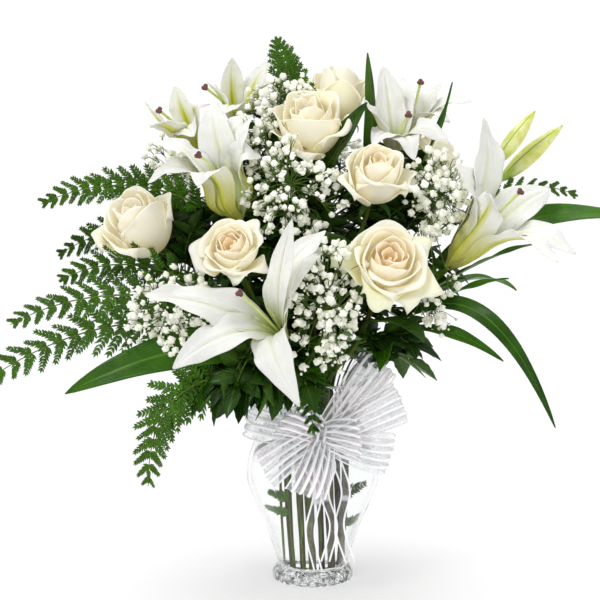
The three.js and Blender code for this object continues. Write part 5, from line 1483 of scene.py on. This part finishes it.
# ---- the bouquet -------------------------------------------------------------------------------
necks = assigned_places([s["top"] for s in LILY_STEMS] + [r["centre"] for r in ROSES]
                        + [f["base"] for f in FRONDS] + [s["hub"] for s in SPRAYS])
places = iter(zip(necks, end_places(necks)))
build_vase()
build_water()
blooms = []
for i, lily in enumerate(LILIES):
    blooms += build_lily(i + 1, lily)
    build_pistil(i + 1, lily)
for i, bud in enumerate(BUDS):
    build_bud(i + 1, bud)
for i, rose in enumerate(ROSES):
    blooms += build_rose(i + 1, rose)
for i, stem in enumerate(LILY_STEMS):
    build_lily_stem(i + 1, stem, next(places))
rng = np.random.default_rng(5)
ends = np.concatenate([cloud_places(centre, size, count, 0.45 + 0.5 * rng.uniform(0, 1, count))
                       for centre, size, count in FOLIAGE])
owner = np.argmin([np.linalg.norm(ends - np.array(rose["via"][0], float), axis=1) for rose in ROSES],
                  axis=0)
for i, rose in enumerate(ROSES):
    build_rose_stem(i + 1, rose, next(places), ends[owner == i])
for i, fern in enumerate(FRONDS):
    build_frond(i + 1, fern, next(places))
taken = np.concatenate([part["points"] for part in blooms])[::9]
for i, spray in enumerate(SPRAYS):
    build_spray(i + 1, spray, next(places), taken)
build_ribbon()


# ---- the stage ---------------------------------------------------------------------------------
FLOOR_RADIUS, FLOOR_CORNERS = 12, 64
CAMERA_PLACE, CAMERA_DOWN, CAMERA_LENS, CAMERA_SENSOR = (-0.013, -1.8, 0.516), 7.25, 108, 36
HEART = (0, -0.05, 0.3)


def build_stage():
    """
    A pale floor that reaches far past the view. Away from the vase it goes over into an even white
    glow, so that it melts into the white surroundings.
    """
    material, tree, skin = new_finish("pale_floor", Roughness=0.7, Specular_IOR_Level=0.1)
    where = add(tree, "TexCoord").outputs["Object"]
    noise = add(tree, "TexNoise", {"Vector": where, "Scale": 3.0}).outputs[0]
    pale = mixed(tree, noise, (0.93, 0.93, 0.93), (0.95, 0.95, 0.95))
    tree.links.new(pale, skin.inputs["Base Color"])
    away = add(tree, "VectorMath", {0: where}, operation="LENGTH").outputs["Value"]
    white = add(tree, "Emission", {"Strength": 1.04})
    share = ranged(tree, away, 0.0, 0.28, 0.32, 1.0)
    both = add(tree, "MixShader", {0: share, 1: skin.outputs[0], 2: white.outputs[0]})
    out = next(n for n in tree.nodes if n.type == "OUTPUT_MATERIAL")
    tree.links.new(both.outputs[0], out.inputs["Surface"])
    angle = np.arange(FLOOR_CORNERS) * 2 * np.pi / FLOOR_CORNERS
    rim = FLOOR_RADIUS * np.stack([np.cos(angle), np.sin(angle), 0 * angle], -1)
    mesh = bpy.data.meshes.new("floor")
    mesh.from_pydata(rim.tolist(), [], [list(range(FLOOR_CORNERS))])
    mesh.materials.append(material)
    floor = bpy.data.objects.new("floor", mesh)
    bpy.context.scene.collection.objects.link(floor)


def softbox(name, place, aim, size, power):
    """A square soft lamp that shines from its place towards aim."""
    data = bpy.data.lights.new(name, "AREA")
    data.shape, data.size, data.energy = "SQUARE", size, power
    lamp = bpy.data.objects.new(name, data)
    lamp.location = place
    way = np.array(aim, float) - np.array(place, float)
    lamp.rotation_euler = (math.atan2(math.hypot(way[0], way[1]), -way[2]), 0,
                           math.atan2(-way[0], way[1]))
    bpy.context.scene.collection.objects.link(lamp)


def build_light():
    """White surroundings and three soft lamps: key from the upper left, fill and top."""
    world = bpy.data.worlds.new("white_studio")
    world.use_nodes = True
    tree = world.node_tree
    paths = tree.nodes.new("ShaderNodeLightPath").outputs
    seen = maths(tree, "MAXIMUM", paths["Is Camera Ray"], paths["Is Transmission Ray"])
    tree.nodes["Background"].inputs["Color"].default_value = (1, 1, 1, 1)
    tree.links.new(ranged(tree, seen, 0, 1, 0.48, 1.05), tree.nodes["Background"].inputs["Strength"])
    bpy.context.scene.world = world
    softbox("key", (-1.4, -1.8, 2.0), aim=HEART, size=0.9, power=34)
    softbox("fill", (1.9, -1.5, 1.1), aim=HEART, size=1.4, power=10)
    softbox("top", (0.2, 0.5, 2.6), aim=(0, 0, 0.3), size=1.4, power=27)


def build_camera():
    """The photograph's view: 1.8 m in front, looking a little down."""
    data = bpy.data.cameras.new("camera")
    data.lens, data.sensor_width = CAMERA_LENS, CAMERA_SENSOR
    camera = bpy.data.objects.new("camera", data)
    camera.location = CAMERA_PLACE
    camera.rotation_euler = (math.radians(90 - CAMERA_DOWN), 0, 0)
    bpy.context.scene.collection.objects.link(camera)
    bpy.context.scene.camera = camera


build_stage()
build_light()
build_camera()
bpy.context.scene.view_settings.view_transform = "Standard"
